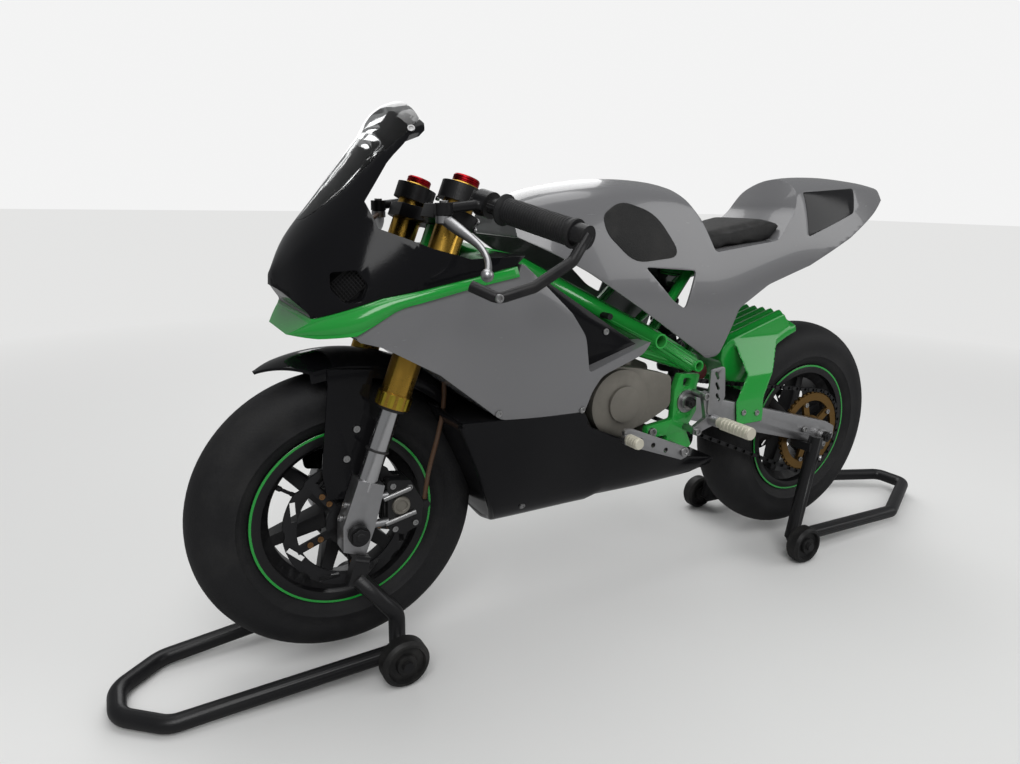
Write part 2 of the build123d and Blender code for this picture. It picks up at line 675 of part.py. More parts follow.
upper = cut_panel(shell, band_top + cockpit + [(x, z - gap) for x, z in screen_low[::-1]] + [(110, 674)])
# Vent: an opening in the side with a shallow box behind it
vent_face = side_face([(24, 610), (-6, 614), (-16, 596), (-8, 576), (12, 572), (26, 590)], 4)
vent_depth = 12
vent_rows = fairing_rows[1:5]
pocket_space = hull(vent_rows, fairing_base, panel_wall - 1)
pocket = pocket_space - hull(vent_rows, fairing_base, panel_wall + vent_depth)
pocket = pocket & slab(offset(vent_face, 2), -wide, wide)
pocket -= (pocket_space - hull(vent_rows, fairing_base, panel_wall + vent_depth - 2)) & slab(vent_face, -wide, wide)
add("upper_fairing", upper - slab(vent_face, -wide, wide) + pocket)
add("screen", cut_panel(shell, screen_low + [(screen_end, 850), (46, 850)]))
add("fairing_band", cut_panel(band_shell, [(x, z - gap) for x, z in band_top] + band_low[::-1]))
side = cut_panel(shell, [(x, z - gap) for x, z in band_low[2:]]
                 + [(-222, 622), (-309, 546), (-337, 510), (-348, 452), (-476, 490), (-458, 470), (-376, 444),
                    (-358, 422), (-347, 390), (-194, 401), (-101, 476), (-26, 518), (2, 525)])
add("side_fairings", side)
belly = cut_panel(shell, [(-194, 401 - gap), (-347, 390 - gap), (-366, 360), (-470, 312), (-560, 270), (-700, 236),
                          (-700, 170), (-246, 170), (-222, 212), (-134, 402)])
add("belly_pan", belly)

inner_panel_y = 126
inner_panel = plate([(-232, 606), (-290, 586), (-478, 470), (-350, 438), (-338, 500), (-306, 542)],
                    inner_panel_y + seat_fit, inner_panel_y + panel_wall, 3)
add("inner_panels", inner_panel, mirrored(inner_panel))

# Stay from the headstock to the upper fairing, and brackets from the frame and engine to the panels
stay_x, stay_z, stay_radius = -22, 660, 6
stay = rod((-143, 0, 619), (stay_x, 0, stay_z), stay_radius) + across(stay_x, stay_z, stay_radius, -wide, wide)
stays = [stay]
for side in both:
    for x, z, start, end in ((-290, 537, 57, wide), (-255, 405, 45, wide), (-430, 305, 80, wide),
                             (-404, 530, 88, inner_panel_y), (-305, 568, 72, inner_panel_y)):
        low, high = sorted((side * start, side * end))
        stays.append(across(x, z, stay_radius - 1, low, high))
room = hull(fairing_rows, fairing_base, panel_wall + seat_fit)
solid_neighbours = frame + engine + head
add("fairing_stay", *[(each & room) - solid_neighbours for each in stays])

# Seat unit: tank cover, seat pan and tail
seat_rows = [
    (-262, 64, 78, 652, 52, 690, 698),
    (-330, 84, 112, 640, 72, 708, 722),
    (-440, 98, 121, 625, 78, 720, 738),
    (-550, 104, 118, 600, 72, 716, 736),
    (-650, 104, 110, 590, 80, 690, 716),
    (-760, 84, 100, 620, 82, 690, 714),
    (-870, 62, 88, 660, 70, 722, 748),
    (-980, 48, 76, 680, 56, 734, 756),
    (-1100, 36, 58, 700, 42, 736, 750),
    (-1166, 20, 36, 716, 26, 734, 742)]
seat_base = 430
seat_outer = hull(seat_rows, seat_base)
seat_inner = hull([(-261,) + seat_rows[0][1:]] + seat_rows[1:-1] + [(-1166 + tank_wall,) + seat_rows[-1][1:]],
                  seat_base, tank_wall)
unit_outline = [(-255, 654), (-360, 600), (-636, 438), (-664, 440), (-700, 524), (-777, 562), (-895, 592),
                (-1020, 641), (-1180, 722), (-1180, 790), (-255, 790)]
scoop_points = [(-566, 800), (-586, 716), (-614, 676), (-638, 622), (-800, 640), (-850, 690), (-905, 800)]
scoop = plate(scoop_points, -wide, wide, 10)
scoop_deep = plate([(-566, 800), (-586, 712), (-612, 672), (-637, 622 - seat_floor_thick - 0.5),
                    (-801, 640 - seat_floor_thick), (-853, 687), (-909, 800)], -wide, wide, 10)
seat_shell = (seat_outer - seat_inner) - scoop
seat_floor = seat_outer & (scoop_deep - scoop)
unit = (seat_shell + seat_floor) & plate(unit_outline, -wide, wide, 4)
window = plate([(-470, 604), (-586, 594), (-562, 532), (-532, 548)], -wide, wide, 5)
unit -= window
for side in both:
    # Feet that rest on the subframe rails
    rail_start, rail_end = Vector(seat_bar[0], side * rail_half, seat_bar[1]), Vector(-985, side * 44, 648)
    for share in (0.25, 0.48):
        foot = Pos(*(rail_start + (rail_end - rail_start) * share)) * Pos(0, 0, 4)
        unit += foot * Box(20, 14, 22, align=(Align.CENTER, Align.CENTER, Align.MIN)) - scoop
    unit -= rod(rail_start, rail_end, seat_tube + seat_fit)
tail_outline = [(-884, 726), (-1056, 737), (-1038, 689), (-886, 645)]
tail_cut = plate(tail_outline, -wide, wide, 5)
tail_fill = slab(offset(side_face(tail_outline, 5), -gap / 2), -wide, wide)
add("tail_panels", unit & tail_fill)
add("seat_unit", unit - tail_cut)

pad = plate([(-640, 624), (-799, 642), (-826, 667), (-800, 674), (-700, 655), (-630, 648)],
            -78, 78, 3)
pad = pad & (Pos(0, 0, seat_fit) * scoop)
add("seat_pad", pad)

# Rear mudguard: an arched shell over the tyre, a hollow hood ahead of it and a foot on each beam
hugger = rear_place * arch(rear_tyre_radius + 15, rear_tyre_half + 4, 3, 14, 74, 46)
hood_face = side_face([(-906, 470), (-884, 496), (-742, 454), (-724, 438), (-722, 418), (-744, 376), (-776, 352),
                       (-840, 420)], 6)
hood_half, hood_wall = 57, 3
hood_space = slab(offset(hood_face, -hood_wall), hood_wall - hood_half, hood_half - hood_wall)
tyre_room = rear_place * across(0, 0, rear_tyre_radius + 12, -hood_half - 5, hood_half + 5)
hugger = (hugger - hood_space) + (slab(hood_face, -hood_half, hood_half) - hood_space - tyre_room)
foot_y = beam_outer + seat_fit
# Foot sections: z, front x, rear x, inner y
foot_rows = [(298, -734, -803, foot_y), (345, -726, -800, foot_y), (392, -756, -826, foot_y - 6),
             (452, -750, -872, hood_half - 2)]
foot_faces = [Plane.XY.offset(z) * Pos((front + rear) / 2, y + 1.5) * Rectangle(front - rear, 3)
              for z, front, rear, y in foot_rows]
hugger_foot = loft(foot_faces, ruled=True)
hugger += hugger_foot + mirrored(hugger_foot)
add("hugger", hugger)


# Paddock stands
pad_plane = foot_bottom - lift_gap
front_stand = bent_tube([
    (front_roller_x, front_arm_y, roller_radius), (front_loop_x - 60, front_arm_y - 20, stand_tube + 1),
    (front_loop_x, 30, stand_tube + 1), (front_loop_x, -30, stand_tube + 1),
    (front_loop_x - 60, 20 - front_arm_y, stand_tube + 1), (front_roller_x, -front_arm_y, roller_radius)],
    stand_tube, 40)
for side in both:
    front_stand += bent_tube([
        (front_roller_x, side * front_arm_y, roller_radius), (front_roller_x, side * front_arm_y, 100),
        (6, side * front_arm_y, 178)], stand_tube, 30)
    saddle = Pos(saddle_x, side * (leg_spacing + 6), pad_plane) * Box(
        22, 30, 8, align=(Align.CENTER, Align.CENTER, Align.MAX))
    saddle += Pos(saddle_x, side * front_arm_y, pad_plane - 7) * Box(
        22, 18, 36, align=(Align.CENTER, Align.CENTER, Align.MAX))
    front_stand += lean * saddle
front_stand += across(front_roller_x, roller_radius, 8, -front_roller_y - 20, -front_arm_y)
front_stand += across(front_roller_x, roller_radius, 8, front_arm_y, front_roller_y + 20)
add("front_stand", front_stand)

lift_x = rear_axle_x + 42
beam_under = beam_end[1] + (lift_x - beam_end[0]) * tan(beam_slope) - rise
rear_stand = bent_tube([
    (rear_roller_x, rear_arm_y, roller_radius), (-1240, rear_arm_y, 26), (rear_loop_x, 34, 30),
    (rear_loop_x, -34, 30), (-1240, -rear_arm_y, 26), (rear_roller_x, -rear_arm_y, roller_radius)],
    stand_tube + 1, 26)
for side in both:
    rear_stand += rod((rear_roller_x, side * rear_arm_y, roller_radius),
                      (lift_x, side * rear_arm_y, beam_under + 16), stand_tube + 1)
    low, high = sorted((side * (beam_inner + 2), side * (rear_arm_y + 4)))
    rear_stand += plate([(lift_x - 22, beam_under - 12), (lift_x + 22, beam_under - 12),
                         (lift_x + 22, beam_under + 22 * tan(beam_slope) - lift_gap * 2),
                         (lift_x - 22, beam_under - 22 * tan(beam_slope) - lift_gap * 2)], low, high)
rear_stand += across(rear_roller_x, roller_radius, 8, -rear_roller_y - 20, -rear_arm_y)
rear_stand += across(rear_roller_x, roller_radius, 8, rear_arm_y, rear_roller_y + 20)
add("rear_stand", rear_stand)

rollers = []
for x, y in ((front_roller_x, front_roller_y), (rear_roller_x, rear_roller_y)):
    for side in both:
        low, high = sorted((side * y - roller_width / 2, side * y + roller_width / 2))
        rollers.append(across(x, roller_radius, roller_radius, low, high)
                       - across(x, roller_radius, 8 + running_fit, low - 1, high + 1))
add("stand_rollers", *rollers)


# The origin is on the floor, midway between the ends of the two stands
front_end = front_loop_x + stand_tube
rear_end = rear_loop_x - stand_tube - 1
to_origin = Pos(-(front_end + rear_end) / 2, 0, 0)
print("shift of X to the origin", to_origin.position.X)
os.makedirs("parts", exist_ok=True)
for name, part in nodes.items():
    export_step(to_origin * part, "parts/" + name + ".step")
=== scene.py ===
import bpy
import bmesh
import json
from math import radians, sin, cos, pi, atan2, acos, sqrt, hypot
from mathutils import Vector, Matrix


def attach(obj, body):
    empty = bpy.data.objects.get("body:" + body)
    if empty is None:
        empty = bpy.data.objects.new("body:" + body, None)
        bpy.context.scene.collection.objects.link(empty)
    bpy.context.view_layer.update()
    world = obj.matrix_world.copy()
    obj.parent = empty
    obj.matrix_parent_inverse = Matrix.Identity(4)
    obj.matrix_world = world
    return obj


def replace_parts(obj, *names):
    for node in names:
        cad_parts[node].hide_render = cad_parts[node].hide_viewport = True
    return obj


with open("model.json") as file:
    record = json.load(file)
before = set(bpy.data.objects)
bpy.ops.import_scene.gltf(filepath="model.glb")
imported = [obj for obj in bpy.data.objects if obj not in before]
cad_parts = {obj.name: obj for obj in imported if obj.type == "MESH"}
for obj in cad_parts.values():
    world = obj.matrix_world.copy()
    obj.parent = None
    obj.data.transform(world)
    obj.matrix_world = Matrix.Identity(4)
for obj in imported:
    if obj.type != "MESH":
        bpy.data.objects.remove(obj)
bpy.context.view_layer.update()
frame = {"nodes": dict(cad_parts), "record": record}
record = frame["record"]


print("frame loaded", len(frame["nodes"]), "nodes")


# Short ways to add and join the nodes of one tree

class Wiring:
    def __init__(self, tree):
        self.tree = tree

    def add(self, kind, **settings):
        node = self.tree.nodes.new(kind)
        for key, value in settings.items():
            setattr(node, key, value)
        return node

    def join(self, source, target):
        self.tree.links.new(source, target)

    def feed(self, value, socket):
        # A plain value is written into the socket, and an output is joined to it
        if isinstance(value, (int, float, tuple)):
            socket.default_value = value
        else:
            self.join(value, socket)

    def place(self):
        return self.add("ShaderNodeTexCoord").outputs["Object"]

    def noise(self, vector, scale, detail=3.0, rough=0.5):
        node = self.add("ShaderNodeTexNoise")
        for label, value in (("Vector", vector), ("Scale", scale), ("Detail", detail), ("Roughness", rough)):
            self.feed(value, node.inputs[label])
        return node.outputs["Fac"]

    def ramp(self, value, low, high):
        node = self.add("ShaderNodeMapRange")
        for label, number in (("Value", value), ("From Min", low), ("From Max", high)):
            self.feed(number, node.inputs[label])
        return node.outputs["Result"]

    def maths(self, operation, a, b):
        node = self.add("ShaderNodeMath", operation=operation)
        self.feed(a, node.inputs[0])
        self.feed(b, node.inputs[1])
        return node.outputs["Value"]

    def blendColor(self, factor, a, b):
        node = self.add("ShaderNodeMix", data_type="RGBA")
        for socket, value in ((node.inputs["Factor"], factor), (node.inputs[6], a), (node.inputs[7], b)):
            self.feed(value, socket)
        return node.outputs[2]

    def blendShader(self, factor, a, b):
        node = self.add("ShaderNodeMixShader")
        for socket, source in zip(node.inputs, (factor, a, b)):
            self.join(source, socket)
        return node.outputs["Shader"]

    def glow(self, kind, color, strength=1.0):
        node = self.add(kind)
        node.inputs["Color"].default_value = color
        node.inputs["Strength"].default_value = strength
        return node.outputs[0]

    def corners(self, reach, low, high):
        # Grows towards 1 where surfaces meet
        node = self.add("ShaderNodeAmbientOcclusion", samples=6)
        node.inputs["Distance"].default_value = reach
        return self.ramp(node.outputs["AO"], low, high)

    def bump(self, height, strength, distance):
        node = self.add("ShaderNodeBump")
        for label, value in (("Distance", distance), ("Strength", strength), ("Height", height)):
            self.feed(value, node.inputs[label])
        return node.outputs["Normal"]


# Studio: camera, lamps, floor, sky

camera = {"place": (0.8212, 1.0055, 0.7062), "turn": (75.517, -1.062, 150.709), "lens": 25.2, "film": 36,
          "far": 200}
lampTable = [
    # name, place, aimed at, size, watts
    ("keyLamp", (1.6, 2.6, 3.2), (0, 0, 0.4), 2.4, 74),
    ("fillLamp", (-2.8, 2.2, 2.0), (0, 0, 0.4), 2.6, 30),
    ("topLamp", (0.0, -0.6, 3.6), (0, 0, 0.3), 2.8, 46),
    ("backLamp", (-1.0, -3.2, 2.2), (0, 0, 0.4), 2.4, 34)]
studio = {
    "floorSize": 60, "floorHeight": -0.0005, "floorRough": 0.7,
    "floorColor": (0.80, 0.80, 0.79, 1), "mirroredFloor": (0.30, 0.30, 0.30, 1),
    "farColor": (0.78, 0.78, 0.775, 1), "fadeStart": 1.1, "fadeEnd": 3.4,
    "skyColor": (0.86, 0.87, 0.88, 1), "skyStrength": 0.34, "mirroredStrength": 0.24,
    "backColor": (0.90, 0.90, 0.90, 1)}


def addCamera(given):
    bpy.ops.object.camera_add(location=given["place"], rotation=[radians(a) for a in given["turn"]])
    cam = bpy.context.object
    cam.name = "photoCamera"
    cam.data.lens = given["lens"]
    cam.data.sensor_width = given["film"]
    cam.data.clip_end = given["far"]
    bpy.context.scene.camera = cam


def addLamps(table):
    for name, place, aim, size, watts in table:
        bpy.ops.object.light_add(type="AREA", location=place)
        lamp = bpy.context.object
        lamp.name = name
        lamp.data.energy = watts
        lamp.data.size = size
        lamp.rotation_euler = (Vector(aim) - Vector(place)).to_track_quat("-Z", "Y").to_euler()


def addFloor(given):
    bpy.ops.mesh.primitive_plane_add(size=given["floorSize"], location=(0, 0, given["floorHeight"]))
    floor = bpy.context.object
    floor.name = "paleFloor"
    floorPaint = bpy.data.materials.new("floorPaint")
    floorPaint.use_nodes = True
    nodes = floorPaint.node_tree.nodes
    w = Wiring(floorPaint.node_tree)
    shader = nodes["Principled BSDF"]
    shader.inputs["Roughness"].default_value = given["floorRough"]
    # Reflections see a darker floor, so that dark gloss stays dark
    rays = w.add("ShaderNodeLightPath").outputs
    tint = w.blendColor(rays["Is Glossy Ray"], given["floorColor"], given["mirroredFloor"])
    w.join(tint, shader.inputs["Base Color"])
    # Far from the object the floor shows the camera its own colour
    reach = w.add("ShaderNodeVectorMath", operation="LENGTH")
    w.join(w.place(), reach.inputs[0])
    fade = w.ramp(reach.outputs["Value"], given["fadeStart"], given["fadeEnd"])
    seen = w.blendShader(w.maths("MULTIPLY", fade, rays["Is Camera Ray"]), shader.outputs["BSDF"],
                         w.glow("ShaderNodeEmission", given["farColor"]))
    w.join(seen, nodes["Material Output"].inputs["Surface"])
    floor.data.materials.append(floorPaint)


def addSky(given):
    world = bpy.data.worlds.new("studioSky")
    world.use_nodes = True
    bpy.context.scene.world = world
    nodes = world.node_tree.nodes
    w = Wiring(world.node_tree)
    rays = w.add("ShaderNodeLightPath").outputs
    light = nodes["Background"]
    light.inputs["Color"].default_value = given["skyColor"]
    light.inputs["Strength"].default_value = given["skyStrength"]
    mirrored = w.glow("ShaderNodeBackground", given["skyColor"], given["mirroredStrength"])
    sky = w.blendShader(rays["Is Glossy Ray"], light.outputs["Background"], mirrored)
    seen = w.blendShader(rays["Is Camera Ray"], sky, w.glow("ShaderNodeBackground", given["backColor"]))
    w.join(seen, nodes["World Output"].inputs["Surface"])


bpy.context.scene.view_settings.view_transform = "Standard"
addCamera(camera)
addLamps(lampTable)
addFloor(studio)
addSky(studio)
print("studio ready")


# Surface effects, each one a node group that gives colour, roughness and normal

def newGroup(name, colors, numbers):
    group = bpy.data.node_groups.new(name, "ShaderNodeTree")
    for kind, given in (("NodeSocketColor", colors), ("NodeSocketFloat", numbers)):
        for label, value in given.items():
            group.interface.new_socket(name=label, in_out="INPUT", socket_type=kind).default_value = value
    for label, kind in (("Color", "Color"), ("Roughness", "Float"), ("Normal", "Vector")):
        group.interface.new_socket(name=label, in_out="OUTPUT", socket_type="NodeSocket" + kind)
    source, sink = group.nodes.new("NodeGroupInput"), group.nodes.new("NodeGroupOutput")
    return group, Wiring(group), source.outputs, sink.inputs


def buildPaintGroup():
    # Sprayed paint: faint mottling, hairline scuffs, dust in the corners, orange peel
    group, w, given, out = newGroup(
        "paintSurface", {"Color": (0.5, 0.5, 0.5, 1), "Dust Color": (0.4, 0.37, 0.33, 1)},
        {"Dust": 0.25, "Gloss": 0.25, "Peel": 0.1})
    spot = w.place()
    mottle = w.maths("MULTIPLY", w.ramp(w.noise(spot, 9, 4), 0.35, 0.7), 0.35)
    dusty = w.maths("MULTIPLY", w.maths("ADD", mottle, w.corners(0.03, 0.85, 0.35)), given["Dust"])
    stretch = w.add("ShaderNodeMapping")
    stretch.inputs["Scale"].default_value = (25, 260, 260)
    stretch.inputs["Rotation"].default_value = (0.3, 0.5, 0.2)
    w.join(spot, stretch.inputs["Vector"])
    scuffs = w.ramp(w.noise(stretch.outputs["Vector"], 1.0, 2), 0.66, 0.74)
    w.join(w.blendColor(dusty, given["Color"], given["Dust Color"]), out["Color"])
    worn = w.maths("ADD", dusty, w.maths("MULTIPLY", scuffs, given["Dust"]))
    w.join(w.maths("ADD", given["Gloss"], w.maths("MULTIPLY", worn, 0.6)), out["Roughness"])
    w.join(w.bump(w.noise(spot, 420, 2), given["Peel"], 0.0006), out["Normal"])
    return group


def buildMetalGroup():
    # Machined or cast metal: grain, real stains, and painted shade that darkens the corners
    group, w, given, out = newGroup(
        "metalSurface", {"Color": (0.5, 0.5, 0.5, 1), "Stain And Shade Color": (0.05, 0.045, 0.04, 1)},
        {"Stain And Shade": 0.5, "Rough": 0.35, "Grain Scale": 700, "Grain": 0.2})
    spot = w.place()
    stain = w.ramp(w.noise(spot, 22, 5, 0.6), 0.42, 0.72)
    # Painted shade: ambient occlusion darkens the corners towards the dark colour, added to the real stains
    stainAndCornerShade = w.maths("ADD", w.maths("MULTIPLY", stain, 0.3), w.corners(0.012, 0.9, 0.3))
    stainAndShadeMix = w.maths("MULTIPLY", stainAndCornerShade, given["Stain And Shade"])
    w.join(w.blendColor(stainAndShadeMix, given["Color"], given["Stain And Shade Color"]), out["Color"])
    grain = w.noise(spot, given["Grain Scale"], 3)
    uneven = w.maths("MULTIPLY", w.maths("ADD", stain, grain), 0.12)
    w.join(w.maths("ADD", given["Rough"], uneven), out["Roughness"])
    w.join(w.bump(grain, given["Grain"], 0.0008), out["Normal"])
    return group


def buildRubberGroup():
    # Rubber and moulded plastic: fine grain, grey scuffing
    group, w, given, out = newGroup(
        "rubberSurface", {"Color": (0.02, 0.02, 0.02, 1), "Scuff Color": (0.12, 0.11, 0.10, 1)},
        {"Scuff": 0.4, "Rough": 0.6, "Grain Scale": 500, "Grain": 0.3})
    spot = w.place()
    patches = w.ramp(w.noise(spot, 14, 6, 0.65), 0.45, 0.75)
    scuffed = w.maths("MULTIPLY", patches, given["Scuff"])
    w.join(w.blendColor(scuffed, given["Color"], given["Scuff Color"]), out["Color"])
    grain = w.noise(spot, given["Grain Scale"], 3)
    w.join(w.maths("ADD", given["Rough"], w.maths("MULTIPLY", patches, 0.15)), out["Roughness"])
    w.join(w.bump(grain, given["Grain"], 0.001), out["Normal"])
    return group


surfaceGroups = {"paint": buildPaintGroup(), "metal": buildMetalGroup(), "rubber": buildRubberGroup()}


def newMaterial(name, surface, values, metallic=0.0, coat=0.0, transmission=0.0, specular=0.5):
    mat = bpy.data.materials.new(name)
    mat.use_nodes = True
    tree = mat.node_tree
    shader = tree.nodes["Principled BSDF"]
    for label, value in (("Metallic", metallic), ("Coat Weight", coat), ("Coat Roughness", 0.04),
                         ("Transmission Weight", transmission), ("Specular IOR Level", specular)):
        shader.inputs[label].default_value = value
    effect = tree.nodes.new("ShaderNodeGroup")
    effect.node_tree = surfaceGroups[surface]
    for label, value in values.items():
        effect.inputs[label].default_value = value
    for label, target in (("Color", "Base Color"), ("Roughness", "Roughness"), ("Normal", "Normal")):
        tree.links.new(effect.outputs[label], shader.inputs[target])
    return mat


def paint(name, color, dust, gloss, peel, coat=0.0, dustColor=(0.25, 0.23, 0.2, 1), specular=0.5):
    values = {"Color": color, "Dust Color": dustColor, "Dust": dust, "Gloss": gloss, "Peel": peel}
    return newMaterial(name, "paint", values, coat=coat, specular=specular)


def metal(name, color, stainAndShade, rough, grain, scale, metallic=1.0):
    # This amount sets both the real stains and the painted shade in the corners
    values = {"Color": color, "Stain And Shade": stainAndShade, "Rough": rough, "Grain": grain, "Grain Scale": scale}
    return newMaterial(name, "metal", values, metallic=metallic)


def rubber(name, color, scuff, rough, grain, scale, scuffColor=(0.09, 0.085, 0.08, 1)):
    values = {"Color": color, "Scuff Color": scuffColor, "Scuff": scuff, "Rough": rough, "Grain": grain,
              "Grain Scale": scale}
    return newMaterial(name, "rubber", values, specular=0.25)


blackDust = (0.06, 0.058, 0.055, 1)
clearValues = {"Color": (0.94, 0.95, 0.95, 1), "Scuff": 0.01, "Rough": 0.015, "Grain": 0.0}
finishes = {
    # paint: colour, dust, gloss, peel, coat
    "green_paint": paint("greenPaint", (0.008, 0.30, 0.035, 1), 0.10, 0.20, 0.05, 0.6),
    "grey_panel": paint("greyPaint", (0.150, 0.150, 0.156, 1), 0.05, 0.24, 0.05, 0.6),
    "black_panel": paint("blackGlossPaint", (0.005, 0.005, 0.006, 1), 0.06, 0.10, 0.05, 0.0, blackDust, 0.22),
    "black_metal": paint("blackPowderCoat", (0.008, 0.008, 0.009, 1), 0.2, 0.32, 0.25, 0.0, blackDust, 0.35),
    # metal: colour, stains and painted corner shade, roughness, grain, grain scale
    "cast_alloy": metal("castAlloy", (0.30, 0.28, 0.25, 1), 0.7, 0.45, 0.5, 600, 0.8),
    "cover_alloy": metal("coverAlloy", (0.25, 0.235, 0.205, 1), 0.6, 0.42, 0.4, 800, 0.7),
    "steel": metal("plainSteel", (0.50, 0.50, 0.50, 1), 0.5, 0.28, 0.1, 900),
    "alloy": metal("machinedAlloy", (0.50, 0.50, 0.51, 1), 0.45, 0.30, 0.1, 900),
    "peg_alloy": metal("pegAlloy", (0.70, 0.67, 0.56, 1), 0.35, 0.45, 0.2, 700, 0.5),
    "dark_steel": metal("darkSteel", (0.035, 0.035, 0.037, 1), 0.3, 0.32, 0.15, 900, 0.8),
    "gold_tube": metal("goldAnodised", (0.62, 0.37, 0.065, 1), 0.15, 0.20, 0.04, 900),
    "chrome_tube": metal("hardChrome", (0.70, 0.70, 0.71, 1), 0.1, 0.08, 0.02, 900),
    # rubber: colour, scuffing, roughness, grain, grain scale
    "clear_screen": newMaterial("clearScreen", "rubber", clearValues, transmission=1.0),
    "pad_leather": rubber("padLeather", (0.012, 0.012, 0.012, 1), 0.25, 0.46, 0.7, 700),
    "roller_black": rubber("rollerPlastic", (0.012, 0.012, 0.012, 1), 0.4, 0.42, 0.2, 500),
    "grip_rubber": rubber("gripRubber", (0.014, 0.014, 0.015, 1), 0.3, 0.52, 0.4, 900),
    "black_plastic": rubber("blackPlastic", (0.010, 0.010, 0.011, 1), 0.2, 0.30, 0.1, 500),
    "hose_rubber": rubber("hoseRubber", (0.085, 0.045, 0.025, 1), 0.3, 0.35, 0.2, 900),
    "tyre": rubber("tyreRubber", (0.012, 0.012, 0.013, 1), 0.45, 0.58, 0.5, 350, (0.035, 0.034, 0.033, 1))}
extraFinishes = {
    # name: material, the record's slot that it stands for
    "redAnodised": (metal("redAnodised", (0.42, 0.012, 0.02, 1), 0.1, 0.25, 0.05, 900), "gold_tube"),
    "bronzeBolt": (metal("bronzeBolt", (0.36, 0.20, 0.09, 1), 0.3, 0.35, 0.1, 900), "dark_steel"),
    "sprocketBronze": (metal("sprocketBronze", (0.26, 0.15, 0.045, 1), 0.4, 0.35, 0.1, 900), "gold_tube"),
    "yellowCollar": (metal("yellowCollar", (0.66, 0.50, 0.06, 1), 0.15, 0.25, 0.05, 900), "gold_tube"),
    "reservoirPaint": (paint("reservoirPaint", (0.09, 0.012, 0.014, 1), 0.15, 0.25, 0.1, 0.4), "black_metal")}
print("materials ready", len(finishes) + len(extraFinishes))


# Places: the machine's own millimetres, with X = 0 at the front axle, become metres in the frame

shiftX = 549.5
axleHeight = 242
rearAxleX = -985
forkLean = {"foot": (-20.6, 234.3), "rake": radians(20.5)}
forkWay = Vector((-sin(forkLean["rake"]), 0, cos(forkLean["rake"])))
forkAhead = Vector((cos(forkLean["rake"]), 0, sin(forkLean["rake"])))
left = Vector((0, 1, 0))
upward = Vector((0, 0, 1))
sides = (1, -1)
sideName = {1: "Left", -1: "Right"}


def at(x, y, z):
    return Vector(((x + shiftX) / 1000, y / 1000, z / 1000))


def onFork(x, y, s):
    # x ahead of the fork's line, s along it from the foot
    turn = forkLean["rake"]
    footX, footZ = forkLean["foot"]
    return at(footX + x * cos(turn) - s * sin(turn), y, footZ + x * sin(turn) + s * cos(turn))


def flipped(place):
    return Vector((place[0], -place[1], place[2]))


def placeTurned(piece, spot, way, extra=Matrix()):
    # Moves a mesh that was made along Z to its spot and way
    turn = Vector(way).to_track_quat("Z", "Y").to_matrix().to_4x4()
    piece.data.transform(Matrix.Translation(spot) @ turn @ extra)


# Short ways to work with objects and in edit mode

seamGap = 0.00001  # doubles closer than this are one


def deselectAll():
    bpy.ops.object.select_all(action="DESELECT")


def onlySelect(obj):
    deselectAll()
    obj.select_set(True)
    bpy.context.view_layer.objects.active = obj


def startEdit(obj, kind="FACE"):
    onlySelect(obj)
    bpy.ops.object.mode_set(mode="EDIT")
    bpy.ops.mesh.select_mode(type=kind)
    bpy.ops.mesh.select_all(action="DESELECT")
    return bmesh.from_edit_mesh(obj.data)


def endEdit():
    bpy.ops.object.mode_set(mode="OBJECT")


def weld(distance):
    bpy.ops.mesh.select_all(action="SELECT")
    bpy.ops.mesh.remove_doubles(threshold=distance)


def faceOutwards():
    bpy.ops.mesh.select_all(action="SELECT")
    bpy.ops.mesh.normals_make_consistent(inside=False)


def startLoop(places, fill="NOTHING"):
    # A closed loop through the places, left open in edit mode
    deselectAll()
    bpy.ops.mesh.primitive_circle_add(vertices=len(places), radius=1, fill_type=fill)
    piece = bpy.context.object
    mesh = startEdit(piece, "VERT")
    mesh.verts.ensure_lookup_table()
    for vert, place in zip(mesh.verts, places):
        vert.co = place
    bmesh.update_edit_mesh(piece.data)
    return piece


def pickFaces(obj, wanted):
    # wanted takes a face's middle and normal
    mesh = startEdit(obj)
    for face in mesh.faces:
        face.select_set(bool(wanted(face.calc_center_median(), face.normal)))
    bmesh.update_edit_mesh(obj.data)


def bakePlace(obj):
    onlySelect(obj)
    bpy.ops.object.transform_apply(location=True, rotation=True, scale=True)


def addCylinder(**given):
    deselectAll()
    bpy.ops.mesh.primitive_cylinder_add(**given)
    piece = bpy.context.object
    bakePlace(piece)
    return piece


def joinAll(parts):
    deselectAll()
    for part in parts:
        part.select_set(True)
    bpy.context.view_layer.objects.active = parts[0]
    bpy.ops.object.join()
    return parts[0]


def discard(*objects):
    for obj in objects:
        bpy.data.objects.remove(obj)


def applyModifier(obj, kind, **settings):
    onlySelect(obj)
    tool = obj.modifiers.new(kind.lower(), kind)
    for key, value in settings.items():
        setattr(tool, key, value)
    bpy.ops.object.modifier_apply(modifier=tool.name)


def bevelEdges(obj, width, segments=2, angle=35):
    applyModifier(obj, "BEVEL", width=width, segments=segments, limit_method="ANGLE",
                  angle_limit=radians(angle))


def combine(base, other, how):
    applyModifier(base, "BOOLEAN", operation=how, object=other, solver="EXACT")
    discard(other)
    return base


def duplicate(obj, name):
    twin = obj.copy()
    twin.data = obj.data.copy()
    twin.name = name
    bpy.context.collection.objects.link(twin)
    return twin


def finishPiece(obj, name, body, finish, smooth=32):
    # finish is a slot of the record or one of the extra finishes
    obj.name = name
    material, slotName = extraFinishes.get(finish, (finishes.get(finish), finish))
    obj.data.materials.clear()
    obj.data.materials.append(material)
    onlySelect(obj)
    bpy.ops.object.shade_smooth_by_angle(angle=radians(smooth))
    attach(obj, body)
    return obj


